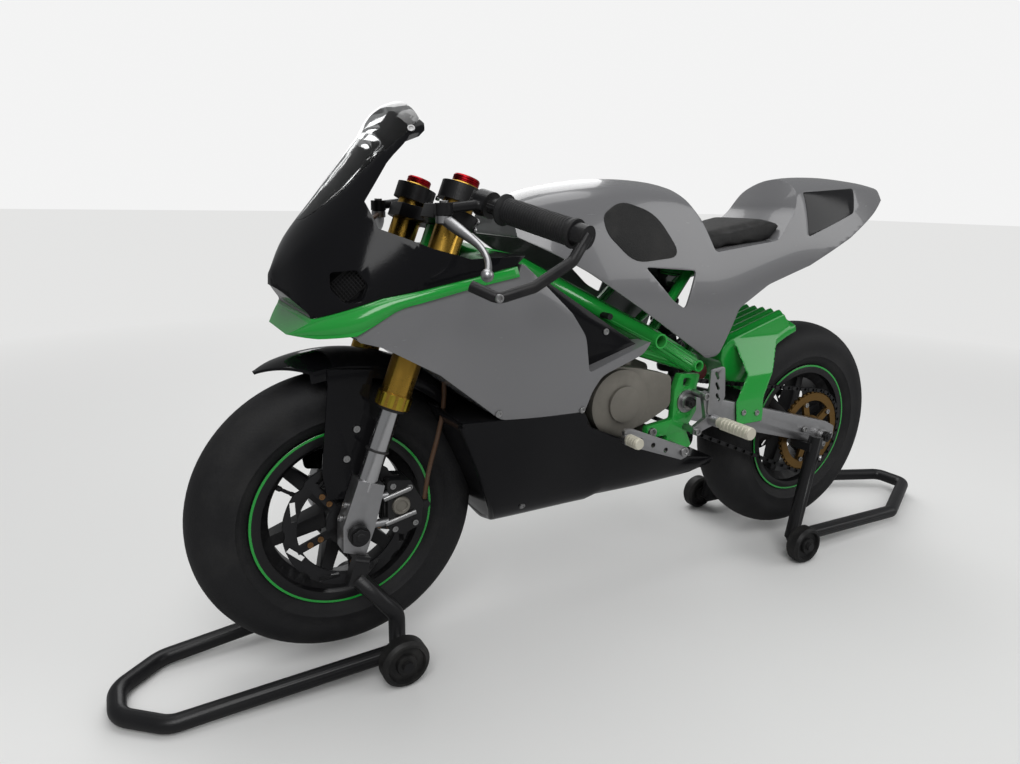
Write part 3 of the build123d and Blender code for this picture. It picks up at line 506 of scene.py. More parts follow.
def lathe(name, profile, origin, way, body, finish, steps=48, smooth=32):
    # profile is a closed outline of (radius, along) in millimetres, spun about the line through origin
    piece = startLoop([(radius / 1000, 0, along / 1000) for radius, along in profile])
    bpy.ops.mesh.select_all(action="SELECT")
    bpy.ops.mesh.spin(steps=steps, angle=2 * pi, center=(0, 0, 0), axis=(0, 0, 1))
    weld(seamGap)
    faceOutwards()
    endEdit()
    placeTurned(piece, origin, way)
    return finishPiece(piece, name, body, finish, smooth)


def tube(name, points, radius, body, finish, swell=None, roundness=3):
    # Round tube along a smooth line, with an own share of the radius at each control point if swell is given
    line = bpy.data.curves.new(name, "CURVE")
    line.dimensions = "3D"
    line.bevel_depth = radius / 1000
    line.bevel_resolution = roundness
    line.use_fill_caps = True
    line.resolution_u = 10
    run = line.splines.new("NURBS")
    run.points.add(len(points) - 1)
    for control, place, share in zip(run.points, points, swell or [1] * len(points)):
        control.co = (*place, 1)
        control.radius = share
    run.order_u = 3
    run.use_endpoint_u = True
    piece = bpy.data.objects.new(name, line)
    bpy.context.collection.objects.link(piece)
    onlySelect(piece)
    bpy.ops.object.convert(target="MESH")
    piece = bpy.context.object
    startEdit(piece)
    weld(seamGap)
    faceOutwards()
    endEdit()
    return finishPiece(piece, name, body, finish, 50)


def makeBolt(corners, inset, push):
    # Master of one unit radius and height: a head with a sunk socket, or a nut with a stud
    bolt = addCylinder(vertices=corners, radius=1, depth=1, location=(0, 0, 0.5))
    pickFaces(bolt, lambda middle, normal: normal.z > 0.9)
    bpy.ops.mesh.inset(thickness=inset)
    bpy.ops.mesh.extrude_region_move(TRANSFORM_OT_translate={"value": (0, 0, push)})
    endEdit()
    bevelEdges(bolt, 0.09, 2, 40)
    return bolt


def scatter(name, master, places, body, finish):
    # places: point, direction, radius and height in millimetres
    copies = []
    for spot, way, radius, height in places:
        twin = duplicate(master, name)
        placeTurned(twin, spot, way, Matrix.Diagonal((radius / 1000, radius / 1000, height / 1000, 1)))
        copies.append(twin)
    return finishPiece(joinAll(copies), name, body, finish)


# CAD pieces with eased edges and smooth shading

nodeSlots = {entry["node"]: entry["material_slot"] for entry in record["subparts"]}
nodeBodies = {node: body for body, nodes in record["behaviour"]["bodies"].items() for node in nodes}
easedEdges = {
    # node: edge width in metres
    "side_plates": 0.0012, "yokes": 0.0015, "fork_feet": 0.0025, "front_caliper": 0.0015,
    "rear_caliper": 0.001, "engine_block": 0.003, "engine_covers": 0.0045, "swingarm": 0.003,
    "rearsets": 0.0008, "foot_levers": 0.001, "front_rim": 0.002, "rear_rim": 0.002,
    "front_fender": 0.0008, "front_disc": 0.0004, "rear_disc": 0.0004, "inner_panels": 0.0006}
ownFinish = {"rear_sprocket": "sprocketBronze"}
remade = {
    "levers", "hugger", "front_tyre", "rear_tyre", "chain", "shock", "grips", "footpegs", "stand_rollers",
    "seat_pad", "upper_fairing", "screen", "fairing_band", "side_fairings", "belly_pan", "seat_unit",
    "tail_panels"}


def mergedCopy(node, name):
    piece = duplicate(frame["nodes"][node], name)
    startEdit(piece)
    weld(0.00002)
    bpy.ops.mesh.dissolve_limited(angle_limit=radians(1))
    endEdit()
    return piece


def dressNode(node):
    piece = mergedCopy(node, node + "_piece")
    if node in easedEdges:
        bevelEdges(piece, easedEdges[node])
    finishPiece(piece, node + "_piece", nodeBodies[node], ownFinish.get(node, nodeSlots[node]))
    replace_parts(piece, node)
    return piece


dressed = {node: dressNode(node) for node in nodeSlots if node not in remade}
print("CAD pieces dressed", len(dressed))


# Bodywork: smooth hulls through the rows of the CAD, cut into the same panels

fairingHull = {
    # rows: x, half width low, waist half width, waist z, shoulder half width, shoulder z, top z
    "rows": [(79, 12, 20, 572, 12, 590, 603), (50, 42, 84, 578, 62, 632, 654),
             (0, 58, 126, 588, 92, 668, 716), (-60, 70, 151, 590, 102, 738, 790),
             (-102, 76, 159, 590, 102, 796, 832),
             (-240, 80, 168, 570, 106, 790, 836), (-380, 82, 152, 520, 100, 760, 800),
             (-520, 80, 140, 480, 90, 700, 740), (-705, 60, 112, 400, 70, 620, 660)],
    "base": 176, "keel": 36, "wall": 3}
seatHull = {
    "rows": [(-262, 64, 78, 652, 52, 690, 698), (-330, 84, 112, 640, 72, 708, 722),
             (-440, 98, 121, 625, 78, 720, 738), (-550, 104, 118, 600, 72, 716, 736),
             (-650, 104, 110, 590, 80, 690, 716), (-760, 84, 100, 620, 82, 690, 714),
             (-870, 62, 88, 660, 70, 722, 748), (-980, 48, 76, 680, 56, 734, 756),
             (-1100, 36, 58, 700, 42, 736, 750), (-1166, 20, 36, 716, 26, 734, 742)],
    "base": 430, "keel": 0, "wall": 3.5}
stepsPerRow = 6


def smoothRows(rows, steps):
    # A smooth curve through the rows, column by column
    table = []
    for n in range(len(rows) - 1):
        first, last = rows[n], rows[n + 1]
        before, after = rows[max(n - 1, 0)], rows[min(n + 2, len(rows) - 1)]
        for k in range(steps):
            t = k / steps
            table.append([f + t * (g - e) / 2 + t * t * (e - 2.5 * f + 2 * g - h / 2)
                          + t ** 3 * (1.5 * (f - g) + (h - e) / 2)
                          for e, f, g, h in zip(before, first, last, after)])
    return table + [list(rows[-1])]


def arcPoints(start, through, end, count):
    (ax, ay), (bx, by), (cx, cy) = start, through, end
    size = 2 * (ax * (by - cy) + bx * (cy - ay) + cx * (ay - by))
    a, b, c = ax * ax + ay * ay, bx * bx + by * by, cx * cx + cy * cy
    ux = (a * (by - cy) + b * (cy - ay) + c * (ay - by)) / size
    uy = (a * (cx - bx) + b * (ax - cx) + c * (bx - ax)) / size
    radius = hypot(ax - ux, ay - uy)
    first = atan2(ay - uy, ax - ux)
    span = (atan2(cy - uy, cx - ux) - first) % (2 * pi)
    if (atan2(by - uy, bx - ux) - first) % (2 * pi) > span:
        span -= 2 * pi
    return [(ux + radius * cos(first + span * n / count), uy + radius * sin(first + span * n / count))
            for n in range(count + 1)]


def evenly(points, count):
    # The same line with evenly spaced points
    reach = [0]
    for (ax, ay), (bx, by) in zip(points, points[1:]):
        reach.append(reach[-1] + hypot(bx - ax, by - ay))
    result, part = [], 0
    for n in range(count + 1):
        wanted = reach[-1] * n / count
        while part < len(points) - 2 and reach[part + 1] < wanted:
            part += 1
        share = (wanted - reach[part]) / (reach[part + 1] - reach[part])
        (ax, ay), (bx, by) = points[part], points[part + 1]
        result.append((ax + (bx - ax) * share, ay + (by - ay) * share))
    return result


def neighbours(ring):
    return zip([ring[-1]] + ring[:-1], ring, ring[1:] + [ring[0]])


def hullRing(row, hull, inset):
    # Closed section across the machine, its shoulders rounded, moved inward by inset
    x, low, waist, waistZ, shoulder, shoulderZ, top = row
    flank = arcPoints((low, hull["base"]), (waist, waistZ), (shoulder, shoulderZ), 60)
    flank = [point for point in flank if point[1] >= hull["base"] + hull["keel"]]
    roof = arcPoints((shoulder, shoulderZ), (0, top), (-shoulder, shoulderZ), 40)[:21]
    keel = evenly([(0.5, hull["base"]), flank[0]], 6)[:-1]
    half = keel + evenly(flank, 34)[:-1] + evenly(roof, 14)[:-1]
    ring = half + [(0, top)] + [(-y, z) for y, z in half[::-1]]
    for turn in range(3):
        ring = [((before[0] + 2 * here[0] + after[0]) / 4, (before[1] + 2 * here[1] + after[1]) / 4)
                for before, here, after in neighbours(ring)]
    moved = []
    for before, (y, z), after in neighbours(ring):
        alongY, alongZ = after[0] - before[0], after[1] - before[1]
        size = hypot(alongY, alongZ)
        moved.append(at(x, y - inset * alongZ / size, z + inset * alongY / size))
    return moved


def hullSolid(name, hull, inset, ends):
    # A grid wrapped round the sections, with both ends closed
    rows = smoothRows(hull["rows"], stepsPerRow)
    rows[0][0] += ends
    rows[-1][0] -= ends
    rings = [hullRing(row, hull, inset) for row in rows]
    solid = startLoop(rings[0], "NGON")
    solid.name = name
    for ring in rings[1:]:
        bpy.ops.mesh.select_all(action="DESELECT")
        mesh = bmesh.from_edit_mesh(solid.data)
        mesh.verts.ensure_lookup_table()
        for vert in mesh.verts[-len(ring):]:
            vert.select = True
        mesh.select_flush(True)
        bmesh.update_edit_mesh(solid.data)
        bpy.ops.mesh.extrude_region_move()
        mesh = bmesh.from_edit_mesh(solid.data)
        picked = [vert for vert in mesh.verts if vert.select]
        for vert, place in zip(picked, ring):
            vert.co = place
        bmesh.update_edit_mesh(solid.data)
    faceOutwards()
    endEdit()
    return solid


def roundedOutline(points, radius):
    # Every corner is replaced by a short curve
    result = []
    for n, corner in enumerate(points):
        here = Vector(corner)
        before, after = Vector(points[n - 1]) - here, Vector(points[(n + 1) % len(points)]) - here
        if radius == 0 or before.angle(-after) < radians(12):
            result.append(tuple(here))
            continue
        reach = min(radius, before.length * 0.45, after.length * 0.45)
        first, last = here + before.normalized() * reach, here + after.normalized() * reach
        for t in (0, 0.2, 0.4, 0.6, 0.8, 1):
            result.append(tuple(first * (1 - t) ** 2 + here * 2 * t * (1 - t) + last * t * t))
    return result


def prism(outline, radius=0):
    # A side outline of x and z pushed right through the machine
    reach = 300
    block = startLoop([at(x, -reach, z) for x, z in roundedOutline(outline, radius)], "NGON")
    bpy.ops.mesh.select_all(action="SELECT")
    bpy.ops.mesh.extrude_region_move(TRANSFORM_OT_translate={"value": (0, reach / 500, 0)})
    faceOutwards()
    endEdit()
    return block


def shellOf(hull, cut, deepCut, inset=0):
    # Outer hull with a cut, less the inner one with the same cut grown by a wall, which closes the cut
    outer = combine(hullSolid("outer", hull, inset, 0), prism(cut, 10), "DIFFERENCE")
    inner = combine(hullSolid("inner", hull, hull["wall"], -hull["wall"]), prism(deepCut, 10), "DIFFERENCE")
    return combine(outer, inner, "DIFFERENCE")


def panelFrom(shell, outline, node, finish, radius=0, edge=0.0009, cuts=()):
    # cuts: outline and corner radius of each opening
    panel = combine(duplicate(shell, node), prism(outline, radius), "INTERSECT")
    for cut, rounding in cuts:
        combine(panel, prism(cut, rounding), "DIFFERENCE")
    startEdit(panel)
    weld(0.0002)
    bpy.ops.mesh.dissolve_degenerate(threshold=0.0002)
    endEdit()
    if edge:
        bevelEdges(panel, edge, 3, 50)
    return finishPiece(panel, node + "_piece", "root", finish, 38)


# Side outlines of the panels, as x and z
panelGap = 0.6
bandProud = 3.5
bandTop = [(110, 552), (46, 552), (-30, 580), (-142, 602), (-213, 617)]
bandLow = [(110, 525), (44, 527), (4, 533), (-48, 567), (-150, 591), (-216, 603)]
screenLow = [(46, 664), (25, 681), (-10, 712), (-50, 754), (-104, 803)]
cockpit = [(-229, 630), (-148, 627), (-97, 641), (-36, 665), (-26, 698), (-58, 746), (-80, 773), (-97, 780),
           (-106, 788), (-108, 797)]
noseCut = [(46, 552), (76, 585), (130, 600), (130, 490), (76, 523)]
noseCutDeep = [(42, 552), (74, 589), (134, 604), (134, 486), (75, 519)]
ventOpening = [(24, 610), (-6, 614), (-16, 596), (-8, 576), (12, 572), (26, 590)]
sideOutline = [(-222, 622), (-309, 546), (-337, 510), (-348, 452), (-476, 490), (-458, 470), (-376, 444),
               (-358, 422), (-347, 390), (-194, 401), (-101, 476), (-26, 518), (2, 525)]
bellyOutline = [(-194, 401 - panelGap), (-347, 390 - panelGap), (-366, 360), (-470, 312), (-560, 270),
                (-700, 236), (-700, 170), (-246, 170), (-222, 212), (-134, 402)]
seatScoop = [(-566, 800), (-586, 716), (-614, 676), (-638, 622), (-800, 640), (-850, 690), (-905, 800)]
seatScoopDeep = [(-566, 800), (-586, 712), (-612, 672), (-637, 617.5), (-801, 636), (-853, 687), (-909, 800)]
seatOutline = [(-255, 654), (-360, 600), (-636, 438), (-664, 440), (-700, 524), (-777, 562), (-895, 592),
               (-1020, 641), (-1180, 722), (-1180, 790), (-255, 790)]
seatWindow = [(-470, 604), (-586, 594), (-562, 532), (-532, 548)]
tailOpening = [(-884, 726), (-1056, 737), (-1038, 689), (-886, 645)]
tailOutline = [(-884.5, 725.5), (-1055, 736), (-1037.4, 689.5), (-886.5, 645.8)]
kneeOutline = [(-400, 682), (-440, 704), (-505.5, 685), (-550, 619), (-447, 612), (-402, 655)]


def lower(points):
    return [(x, z - panelGap) for x, z in points]


upperOutline = bandTop + cockpit + lower(screenLow[::-1]) + [(110, 674)]
screenOutline = screenLow + [(-106, 850), (46, 850)]
bandOutline = lower(bandTop) + bandLow[::-1]
fairingShell = shellOf(fairingHull, noseCut, noseCutDeep)
bandShell = shellOf(fairingHull, noseCut, noseCutDeep, -bandProud)
seatShell = shellOf(seatHull, seatScoop, seatScoopDeep)
panelTable = [
    # shell, outline, node, finish, corner radius, edge width in metres, openings
    (fairingShell, upperOutline, "upper_fairing", "black_panel", 0, 0.0009, [(ventOpening, 5)]),
    (fairingShell, screenOutline, "screen", "clear_screen"),
    (bandShell, bandOutline, "fairing_band", "green_paint", 0, 0.005),
    (fairingShell, lower(bandLow[2:]) + sideOutline, "side_fairings", "grey_panel", 9),
    (fairingShell, bellyOutline, "belly_pan", "black_panel", 6),
    (seatShell, seatOutline, "seat_unit", "grey_panel", 8, 0.0009, [(seatWindow, 8), (tailOpening, 7)]),
    (seatShell, tailOutline, "tail_panels", "black_panel", 7)]
for row in panelTable:
    node = row[2]
    dressed[node] = panelFrom(*row)
    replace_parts(dressed[node], node)

kneePads = panelFrom(seatShell, kneeOutline, "knee_pads", "pad_leather", 26, 0)
pickFaces(kneePads, lambda middle, normal: True)
bpy.ops.transform.shrink_fatten(value=0.0016)
endEdit()
bevelEdges(kneePads, 0.001, 2, 50)
finishPiece(kneePads, "kneePads", "root", "pad_leather", 38)
discard(fairingShell, bandShell, seatShell)
print("panels cut from the hulls")


# Tyres: smooth slicks with a fine ring on each wall, a green line on the rim, a valve

tyreSizes = {
    "front": {"x": 0, "radius": 216.6, "half": 47.8, "seat": 34.3, "rimHalf": 38},
    "rear": {"x": rearAxleX, "radius": 222.6, "half": 54.8, "seat": 42.3, "rimHalf": 46}}
tyreShape = {
    "bead": 126, "widest": 0.56, "crownSteps": 12, "fullness": 0.92,
    # radius, share of the way from the rim seat to the full half width
    "wall": [(138.5, 0), (142, 0.35), (150, 0.72), (155, 0.86), (156, 0.95), (157.5, 0.95), (158.5, 0.91)]}
rimLine = [(133.6, -0.2), (136.8, -0.2), (137.15, 0.15), (136.8, 0.45), (133.6, 0.45)]
valveProfile = [(0, 0), (4, 0), (4, 6), (2.6, 8), (2.6, 22), (3.4, 22), (3.4, 30), (0, 30)]


def tyreProfile(given, shape):
    radius, half, seat, bead = given["radius"], given["half"], given["seat"], shape["bead"]
    widest = bead + (radius - bead) * shape["widest"]
    outer = [(bead, seat - 4), (bead + 7, seat - 2)]
    outer += [(r, seat + (half - seat) * share) for r, share in shape["wall"]]
    outer.append((widest - 6, half - 0.4))
    for n in range(shape["crownSteps"]):
        lean = pi / 2 * n / shape["crownSteps"]
        outer.append((widest + (radius - widest) * sin(lean), half * cos(lean) ** shape["fullness"]))
    outer.append((radius, 0))
    inner = [(bead, given["rimHalf"] - 18), (widest - 8, half - 14), (radius - 18, half * 0.55),
             (radius - 16, 0)]
    ring = outer + [(r, -y) for r, y in outer[-2::-1]]
    return ring + [(r, -y) for r, y in inner[:-1]] + [inner[-1]] + inner[-2::-1]


for end, given in tyreSizes.items():
    hub, wheel = at(given["x"], 0, axleHeight), end + "_wheel"
    tyre = lathe(end + "Tyre", tyreProfile(given, tyreShape), hub, left, wheel, "tyre", 112, 40)
    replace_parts(tyre, end + "_tyre")
    for side in sides:
        face = at(given["x"], given["rimHalf"] * side, axleHeight)
        lathe(end + "RimLine" + sideName[side], rimLine, face, left * side, wheel, "green_paint", 96)
    lathe(end + "Valve", valveProfile, at(given["x"] + 92, 20, axleHeight + 58), (-0.84, 0.15, -0.53), wheel,
          "dark_steel", 16)
print("tyres and rim lines ready")


# Shock: damper, coil, perches and reservoir

shock = {
    "low": (-664, 0, 367), "high": (-604, 0, 586), "reservoir": (-692, 0, 393),
    "coilRadius": 24.7, "coilStart": 52, "coilLong": 126, "wire": 4.6, "turns": 7, "turnSteps": 12,
    "pipe": [(-660, 401), (-672, 399), (-684, 397)], "pipeRadius": 8}
shockLow, shockHigh = at(*shock["low"]), at(*shock["high"])
shockWay = shockHigh - shockLow
shockLong = shockWay.length * 1000
shockTurned = [
    # name, outline, origin, direction, finish, steps round
    ("shockBody", [(0, 0), (10, 0), (10, 34), (15, 36), (15, 112), (17, 114), (17, 190), (12, 196),
                   (12, shockLong), (0, shockLong)], shockLow, shockWay, "black_metal", 36),
    ("shockLowPerch", [(0, 36), (29, 36), (29, 42), (25, 49), (0, 49)],
     shockLow, shockWay, "dark_steel", 36),
    ("shockHighPerch", [(0, 182), (29, 182), (29, 190), (26, 195), (0, 195)],
     shockLow, shockWay, "dark_steel", 36),
    ("shockLowEye", [(5, -16), (11, -16), (11, 16), (5, 16)], shockLow, left, "dark_steel", 32),
    ("shockHighEye", [(9.4, -14), (16, -14), (16, 14), (9.4, 14)], shockHigh, left, "dark_steel", 32),
    ("shockReservoir", [(0, -40), (14, -40), (18, -36), (18, -22), (17, -21), (17, 21), (18, 22), (18, 36),
                        (14, 40), (0, 40)], at(*shock["reservoir"]), left, "reservoirPaint", 36)]


def coilRoute(given):
    turn = shockWay.to_track_quat("Z", "Y")
    steps = given["turns"] * given["turnSteps"]
    points = []
    for n in range(steps + 1):
        swing = 2 * pi * n / given["turnSteps"]
        rise = given["coilStart"] + given["coilLong"] * n / steps
        reach = given["coilRadius"] / 1000
        points.append(shockLow + turn @ Vector((cos(swing) * reach, sin(swing) * reach, rise / 1000)))
    return points


for name, profile, origin, way, finish, steps in shockTurned:
    if name == "shockLowEye":
        tube("shockSpring", coilRoute(shock), shock["wire"], "root", "black_metal")
    piece = lathe(name, profile, origin, way, "root", finish, steps)
    if name == "shockBody":
        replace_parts(piece, "shock")
tube("reservoirPipe", [at(x, 0, z) for x, z in shock["pipe"]], shock["pipeRadius"], "root", "dark_steel")
print("shock ready")


# Chain of links round both sprockets

chainRun = {"pitch": 12.7, "y": 67, "drive": (-515, 380, 30), "driven": (rearAxleX, axleHeight, 88)}
linkShape = {
    # in metres: half length, half height at the ends and at the waist, plate, roller
    "long": 0.0093, "end": 0.0045, "waist": 0.0032, "plate": 0.001, "roller": 0.0038, "halfPitch": 0.00635,
    "halfWidths": (0.0042, 0.0029)}


def chainPlaces(given):
    # Evenly spaced places and headings along the loop's pitch line
    (dx, dz, dr), (wx, wz, wr) = given["drive"], given["driven"]
    apart = hypot(wx - dx, wz - dz)
    heading = atan2(wz - dz, wx - dx)
    lean = acos((dr - wr) / apart)
    straight = sqrt(apart ** 2 - (wr - dr) ** 2)
    lengths = [straight, wr * 2 * lean, straight, dr * 2 * (pi - lean)]
    count = round(sum(lengths) / given["pitch"] / 2) * 2
    step = sum(lengths) / count
    places = []
    for n in range(count):
        along, part = n * step, 0
        while along > lengths[part]:
            along -= lengths[part]
            part += 1
        if part in (0, 2):
            angle = heading - lean if part == 0 else heading + lean
            first = Vector((dx + dr * cos(angle), dz + dr * sin(angle)))
            last = Vector((wx + wr * cos(angle), wz + wr * sin(angle)))
            if part == 2:
                first, last = last, first
            point = first + (last - first) * (along / straight)
            way = (last - first).normalized()
        else:
            cx, cz, r = (wx, wz, wr) if part == 1 else (dx, dz, dr)
            start = heading - lean if part == 1 else heading + lean
            angle = start + along / r
            point = Vector((cx + r * cos(angle), cz + r * sin(angle)))
            way = Vector((-sin(angle), cos(angle)))
        places.append((point, atan2(way.y, way.x)))
    return places


def makeLink(half, given):
    # One link along X: two waisted side plates and a roller
    parts = []
    for side in sides:
        cheek = addCylinder(vertices=12, radius=1, depth=1, rotation=(pi / 2, 0, 0))
        mesh = startEdit(cheek, "VERT")
        for vert in mesh.verts:
            height = given["waist"] if abs(vert.co.x) < 0.3 else given["end"]
            x, y, z = vert.co
            vert.co = (x * given["long"], side * half + y * given["plate"], z * height)
        bmesh.update_edit_mesh(cheek.data)
        endEdit()
        parts.append(cheek)
    parts.append(addCylinder(vertices=8, radius=given["roller"], depth=2 * half + given["plate"],
                             rotation=(pi / 2, 0, 0), location=(given["halfPitch"], 0, 0)))
    return joinAll(parts)


linkMasters = [makeLink(half, linkShape) for half in linkShape["halfWidths"]]
links = []
for n, (point, angle) in enumerate(chainPlaces(chainRun)):
    link = duplicate(linkMasters[n % 2], "chainLink")
    spot = at(point.x, chainRun["y"], point.y)
    link.data.transform(Matrix.Translation(spot) @ Matrix.Rotation(-angle, 4, "Y"))
    links.append(link)
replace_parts(finishPiece(joinAll(links), "chainLinks", "root", "dark_steel"), "chain")
discard(*linkMasters)
print("chain ready", len(links), "links")

# Teeth of the rear sprocket
toothRing = {"faces": 88, "radius": 0.0832, "wide": 0.005, "tall": 0.0028, "thick": 0.002}
teeth = addCylinder(vertices=toothRing["faces"], radius=toothRing["radius"], depth=toothRing["wide"],
                    end_fill_type="NOTHING", rotation=(pi / 2, 0, 0),
                    location=at(rearAxleX, chainRun["y"], axleHeight))
mesh = startEdit(teeth)
for count, face in enumerate(mesh.faces):
    face.select_set(count % 2 == 0)
bmesh.update_edit_mesh(teeth.data)
bpy.ops.mesh.extrude_faces_move(TRANSFORM_OT_shrink_fatten={"value": toothRing["tall"]})
endEdit()
applyModifier(teeth, "SOLIDIFY", thickness=toothRing["thick"], offset=-1)
finishPiece(teeth, "sprocketTeeth", "rear_wheel", "sprocketBronze", 20)
print("sprocket teeth ready")


# Fork: gold rings, red adjusters, travel rings, yellow collars and dust seals

forkTrim = {"across": 85, "offset": 28, "pieces": [
    # name, outline of radius and height along the leg, finish, steps round, smoothing angle
    ("forkCapRing", [(17.5, 505), (20.5, 505), (20.5, 509), (19.4, 510.5), (17.5, 510.5)],
     "gold_tube", 48, 32),
    ("forkCap", [(0, 510.5), (18.6, 510.5), (18.9, 512), (18.9, 513.4), (18.2, 514), (18.9, 514.6),
                 (18.9, 516), (18.2, 516.6), (18.9, 517.2), (18.9, 518.6), (17.6, 520.5), (12, 521),
                 (11.4, 519), (0, 519)],
     "redAnodised", 64, 25),
    ("travelRing", [(14.9, 119.5), (16.8, 119.5), (17.2, 121), (16.8, 122.5), (14.9, 122.5)],
     "grip_rubber", 48, 32),
    ("forkCollar", [(22, 187), (25, 187), (25.2, 188), (25.2, 204), (24.4, 205.5), (22, 205.5)],
     "yellowCollar", 12, 25),
    ("dustSeal", [(15.05, 181), (19, 181), (22, 186.2), (15.05, 186.2)], "grip_rubber", 48, 32)]}
stemNut = [(0, 472), (15, 472), (15, 478), (12.5, 480.5), (8, 480.5), (8, 476), (0, 476)]
for side in sides:
    foot = onFork(forkTrim["offset"], side * forkTrim["across"], 0)
    for name, profile, finish, steps, smooth in forkTrim["pieces"]:
        lathe(name + sideName[side], profile, foot, forkWay, "steering", finish, steps, smooth)
lathe("stemNut", stemNut, onFork(0, 0, 0), forkWay, "steering", "steel", 6, 20)
print("fork trim ready")


# Grips with fine ribs, and bar ends

gripShape = {"start": 82, "end": 206, "radius": 16.9, "ribs": 26, "bore": 11.2,
             "root": onFork(28, 85, 495), "way": Vector((-0.3023, 0.9303, -0.2079))}


def gripProfile(given):
    start, end, radius, bore = given["start"], given["end"], given["radius"], given["bore"]
    first, last = start + 8, end - 7
    step = (last - first) / given["ribs"]
    profile = [(bore, start), (20, start), (21, start + 1.5), (21, start + 3.5), (18.5, start + 6)]
    for n in range(given["ribs"]):
        profile += [(radius - 0.5, first + step * n), (radius + 0.3, first + step * (n + 0.3)),
                    (radius + 0.3, first + step * (n + 0.7))]
    return profile + [(18.6, end - 5), (19, end - 3), (18.4, end), (bore, end)]


gripPieces = []
for side in sides:
    origin, way = gripShape["root"], gripShape["way"]
    if side < 0:
        origin, way = flipped(origin), flipped(way)
    gripPieces.append(lathe("grip" + sideName[side], gripProfile(gripShape), origin, way, "steering",
                            "grip_rubber", 56, 28))
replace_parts(gripPieces[0], "grips")
print("grips ready")

# Levers: wide at the pivot, thin in the middle, a ball at the end
lever = {
    "route": [(-122, 128, 678), (-130, 148, 667), (-139, 176, 654), (-141, 204, 643), (-134, 236, 627),
              (-119, 258, 617)],
    "swell": [1.9, 2.0, 1.35, 1.0, 0.95, 1.1], "radius": 4.3,
    "ball": [(8 * sin(pi * n / 12), -8 * cos(pi * n / 12)) for n in range(13)],
    "pivot": [(0, -6.5), (10, -6.5), (11, -5.5), (11, 3.4), (10, 4.3), (0, 4.3)]}
leverPieces = []
for side in sides:
    tag = sideName[side]
    route = [at(x, y * side, z) for x, y, z in lever["route"]]
    leverPieces.append(tube("lever" + tag, route, lever["radius"], "steering", "alloy", lever["swell"], 5))
    lathe("leverBall" + tag, lever["ball"], route[-1], upward, "steering", "alloy", 28)
    lathe("leverPivot" + tag, lever["pivot"], route[0], upward, "steering", "alloy", 36)
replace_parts(leverPieces[0], "levers")

# Footpegs with cut rings
peg = {"middle": (-618, 0, 340), "rings": 8, "spacing": 7.4}
pegProfile = [(0, 166), (9, 166), (9, 172), (10.2, 173)]
for n in range(peg["rings"]):
    out = peg["spacing"] * n
    pegProfile += [(11, 175 + out), (11, 180 + out), (10, 180.9 + out), (10, 181.5 + out)]
pegProfile += [(11, 235), (10, 238), (0, 238.6)]
pegPieces = [lathe("peg" + sideName[side], pegProfile, at(*peg["middle"]), left * side, "root",
                   "peg_alloy", 40, 28) for side in sides]
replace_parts(pegPieces[0], "footpegs")

# Stand rollers with a recessed face and hub
roller = {
    "height": 37, "places": [(-54, 129), (-905, 150)],
    "profile": [(8.1, -14), (15, -14), (16, -12), (16, -8), (27, -8), (29, -14), (33, -14), (37, -9), (37, 9),
                (33, 14), (29, 14), (27, 8), (16, 8), (16, 12), (15, 14), (8.1, 14)]}
rollerPieces = []
for x, y in roller["places"]:
    for side in sides:
        name, spot = "roller" + str(len(rollerPieces)), at(x, side * y, roller["height"])
        rollerPieces.append(lathe(name, roller["profile"], spot, left * side, "root", "roller_black", 64, 28))
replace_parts(rollerPieces[0], "stand_rollers")
print("levers, pegs and rollers ready")


# Seat pad: the pad's own shape, remeshed and blown up a little

padShape = {"voxel": 0.005, "pressure": 4, "stiffness": 30, "frames": 20, "cap": 0.005}


def makePad(given):
    pad = mergedCopy("seat_pad", "seatPad")
    applyModifier(pad, "REMESH", mode="VOXEL", voxel_size=given["voxel"])
    rest = [vert.co.copy() for vert in pad.data.vertices]
    onlySelect(pad)
    cloth = pad.modifiers.new("cloth", "CLOTH")
    cloth.settings.use_pressure = True
    cloth.settings.uniform_pressure_force = given["pressure"]
    cloth.settings.effector_weights.gravity = 0
    cloth.settings.tension_stiffness = given["stiffness"]
    cloth.settings.compression_stiffness = given["stiffness"]
    cloth.point_cache.frame_start = 1
    cloth.point_cache.frame_end = given["frames"]
    for number in range(1, given["frames"] + 1):
        bpy.context.scene.frame_set(number)
    bpy.ops.object.modifier_apply(modifier=cloth.name)
    bpy.context.scene.frame_set(1)
    for vert, start in zip(pad.data.vertices, rest):
        moved = vert.co - start
        if moved.length > given["cap"]:
            vert.co = start + moved.normalized() * given["cap"]
    applyModifier(pad, "SMOOTH", factor=0.5, iterations=3)
    applyModifier(pad, "SUBSURF", levels=1, render_levels=1)
    finishPiece(pad, "seatPad", "root", "pad_leather", 80)
    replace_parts(pad, "seat_pad")


makePad(padShape)
print("seat pad ready")


# Rear mudguard: its flutes are melted into the CAD shape, and every edge is softened

huggerShape = {"crest": ((-738, 451), (-888, 495)), "flutes": (0, 21, -21, 42, -42), "radius": 0.0075,
               "voxel": 0.0021, "softening": 14, "kept": 0.3}


def makeHugger(given):
    parts = [mergedCopy("hugger", "huggerShape")]
    (ax, az), (bx, bz) = given["crest"]
    for y in given["flutes"]:
        start, end = at(ax, y, az), at(bx, y, bz)
        way = end - start
        parts.append(addCylinder(vertices=16, radius=given["radius"], depth=way.length,
                                 location=(start + end) / 2,
                                 rotation=way.to_track_quat("Z", "Y").to_euler()))
    shape = joinAll(parts)
    applyModifier(shape, "REMESH", mode="VOXEL", voxel_size=given["voxel"])
    applyModifier(shape, "SMOOTH", factor=0.5, iterations=given["softening"])
    applyModifier(shape, "DECIMATE", ratio=given["kept"])
    finishPiece(shape, "hugger_piece", "root", "green_paint", 50)
    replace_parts(shape, "hugger")
    return shape


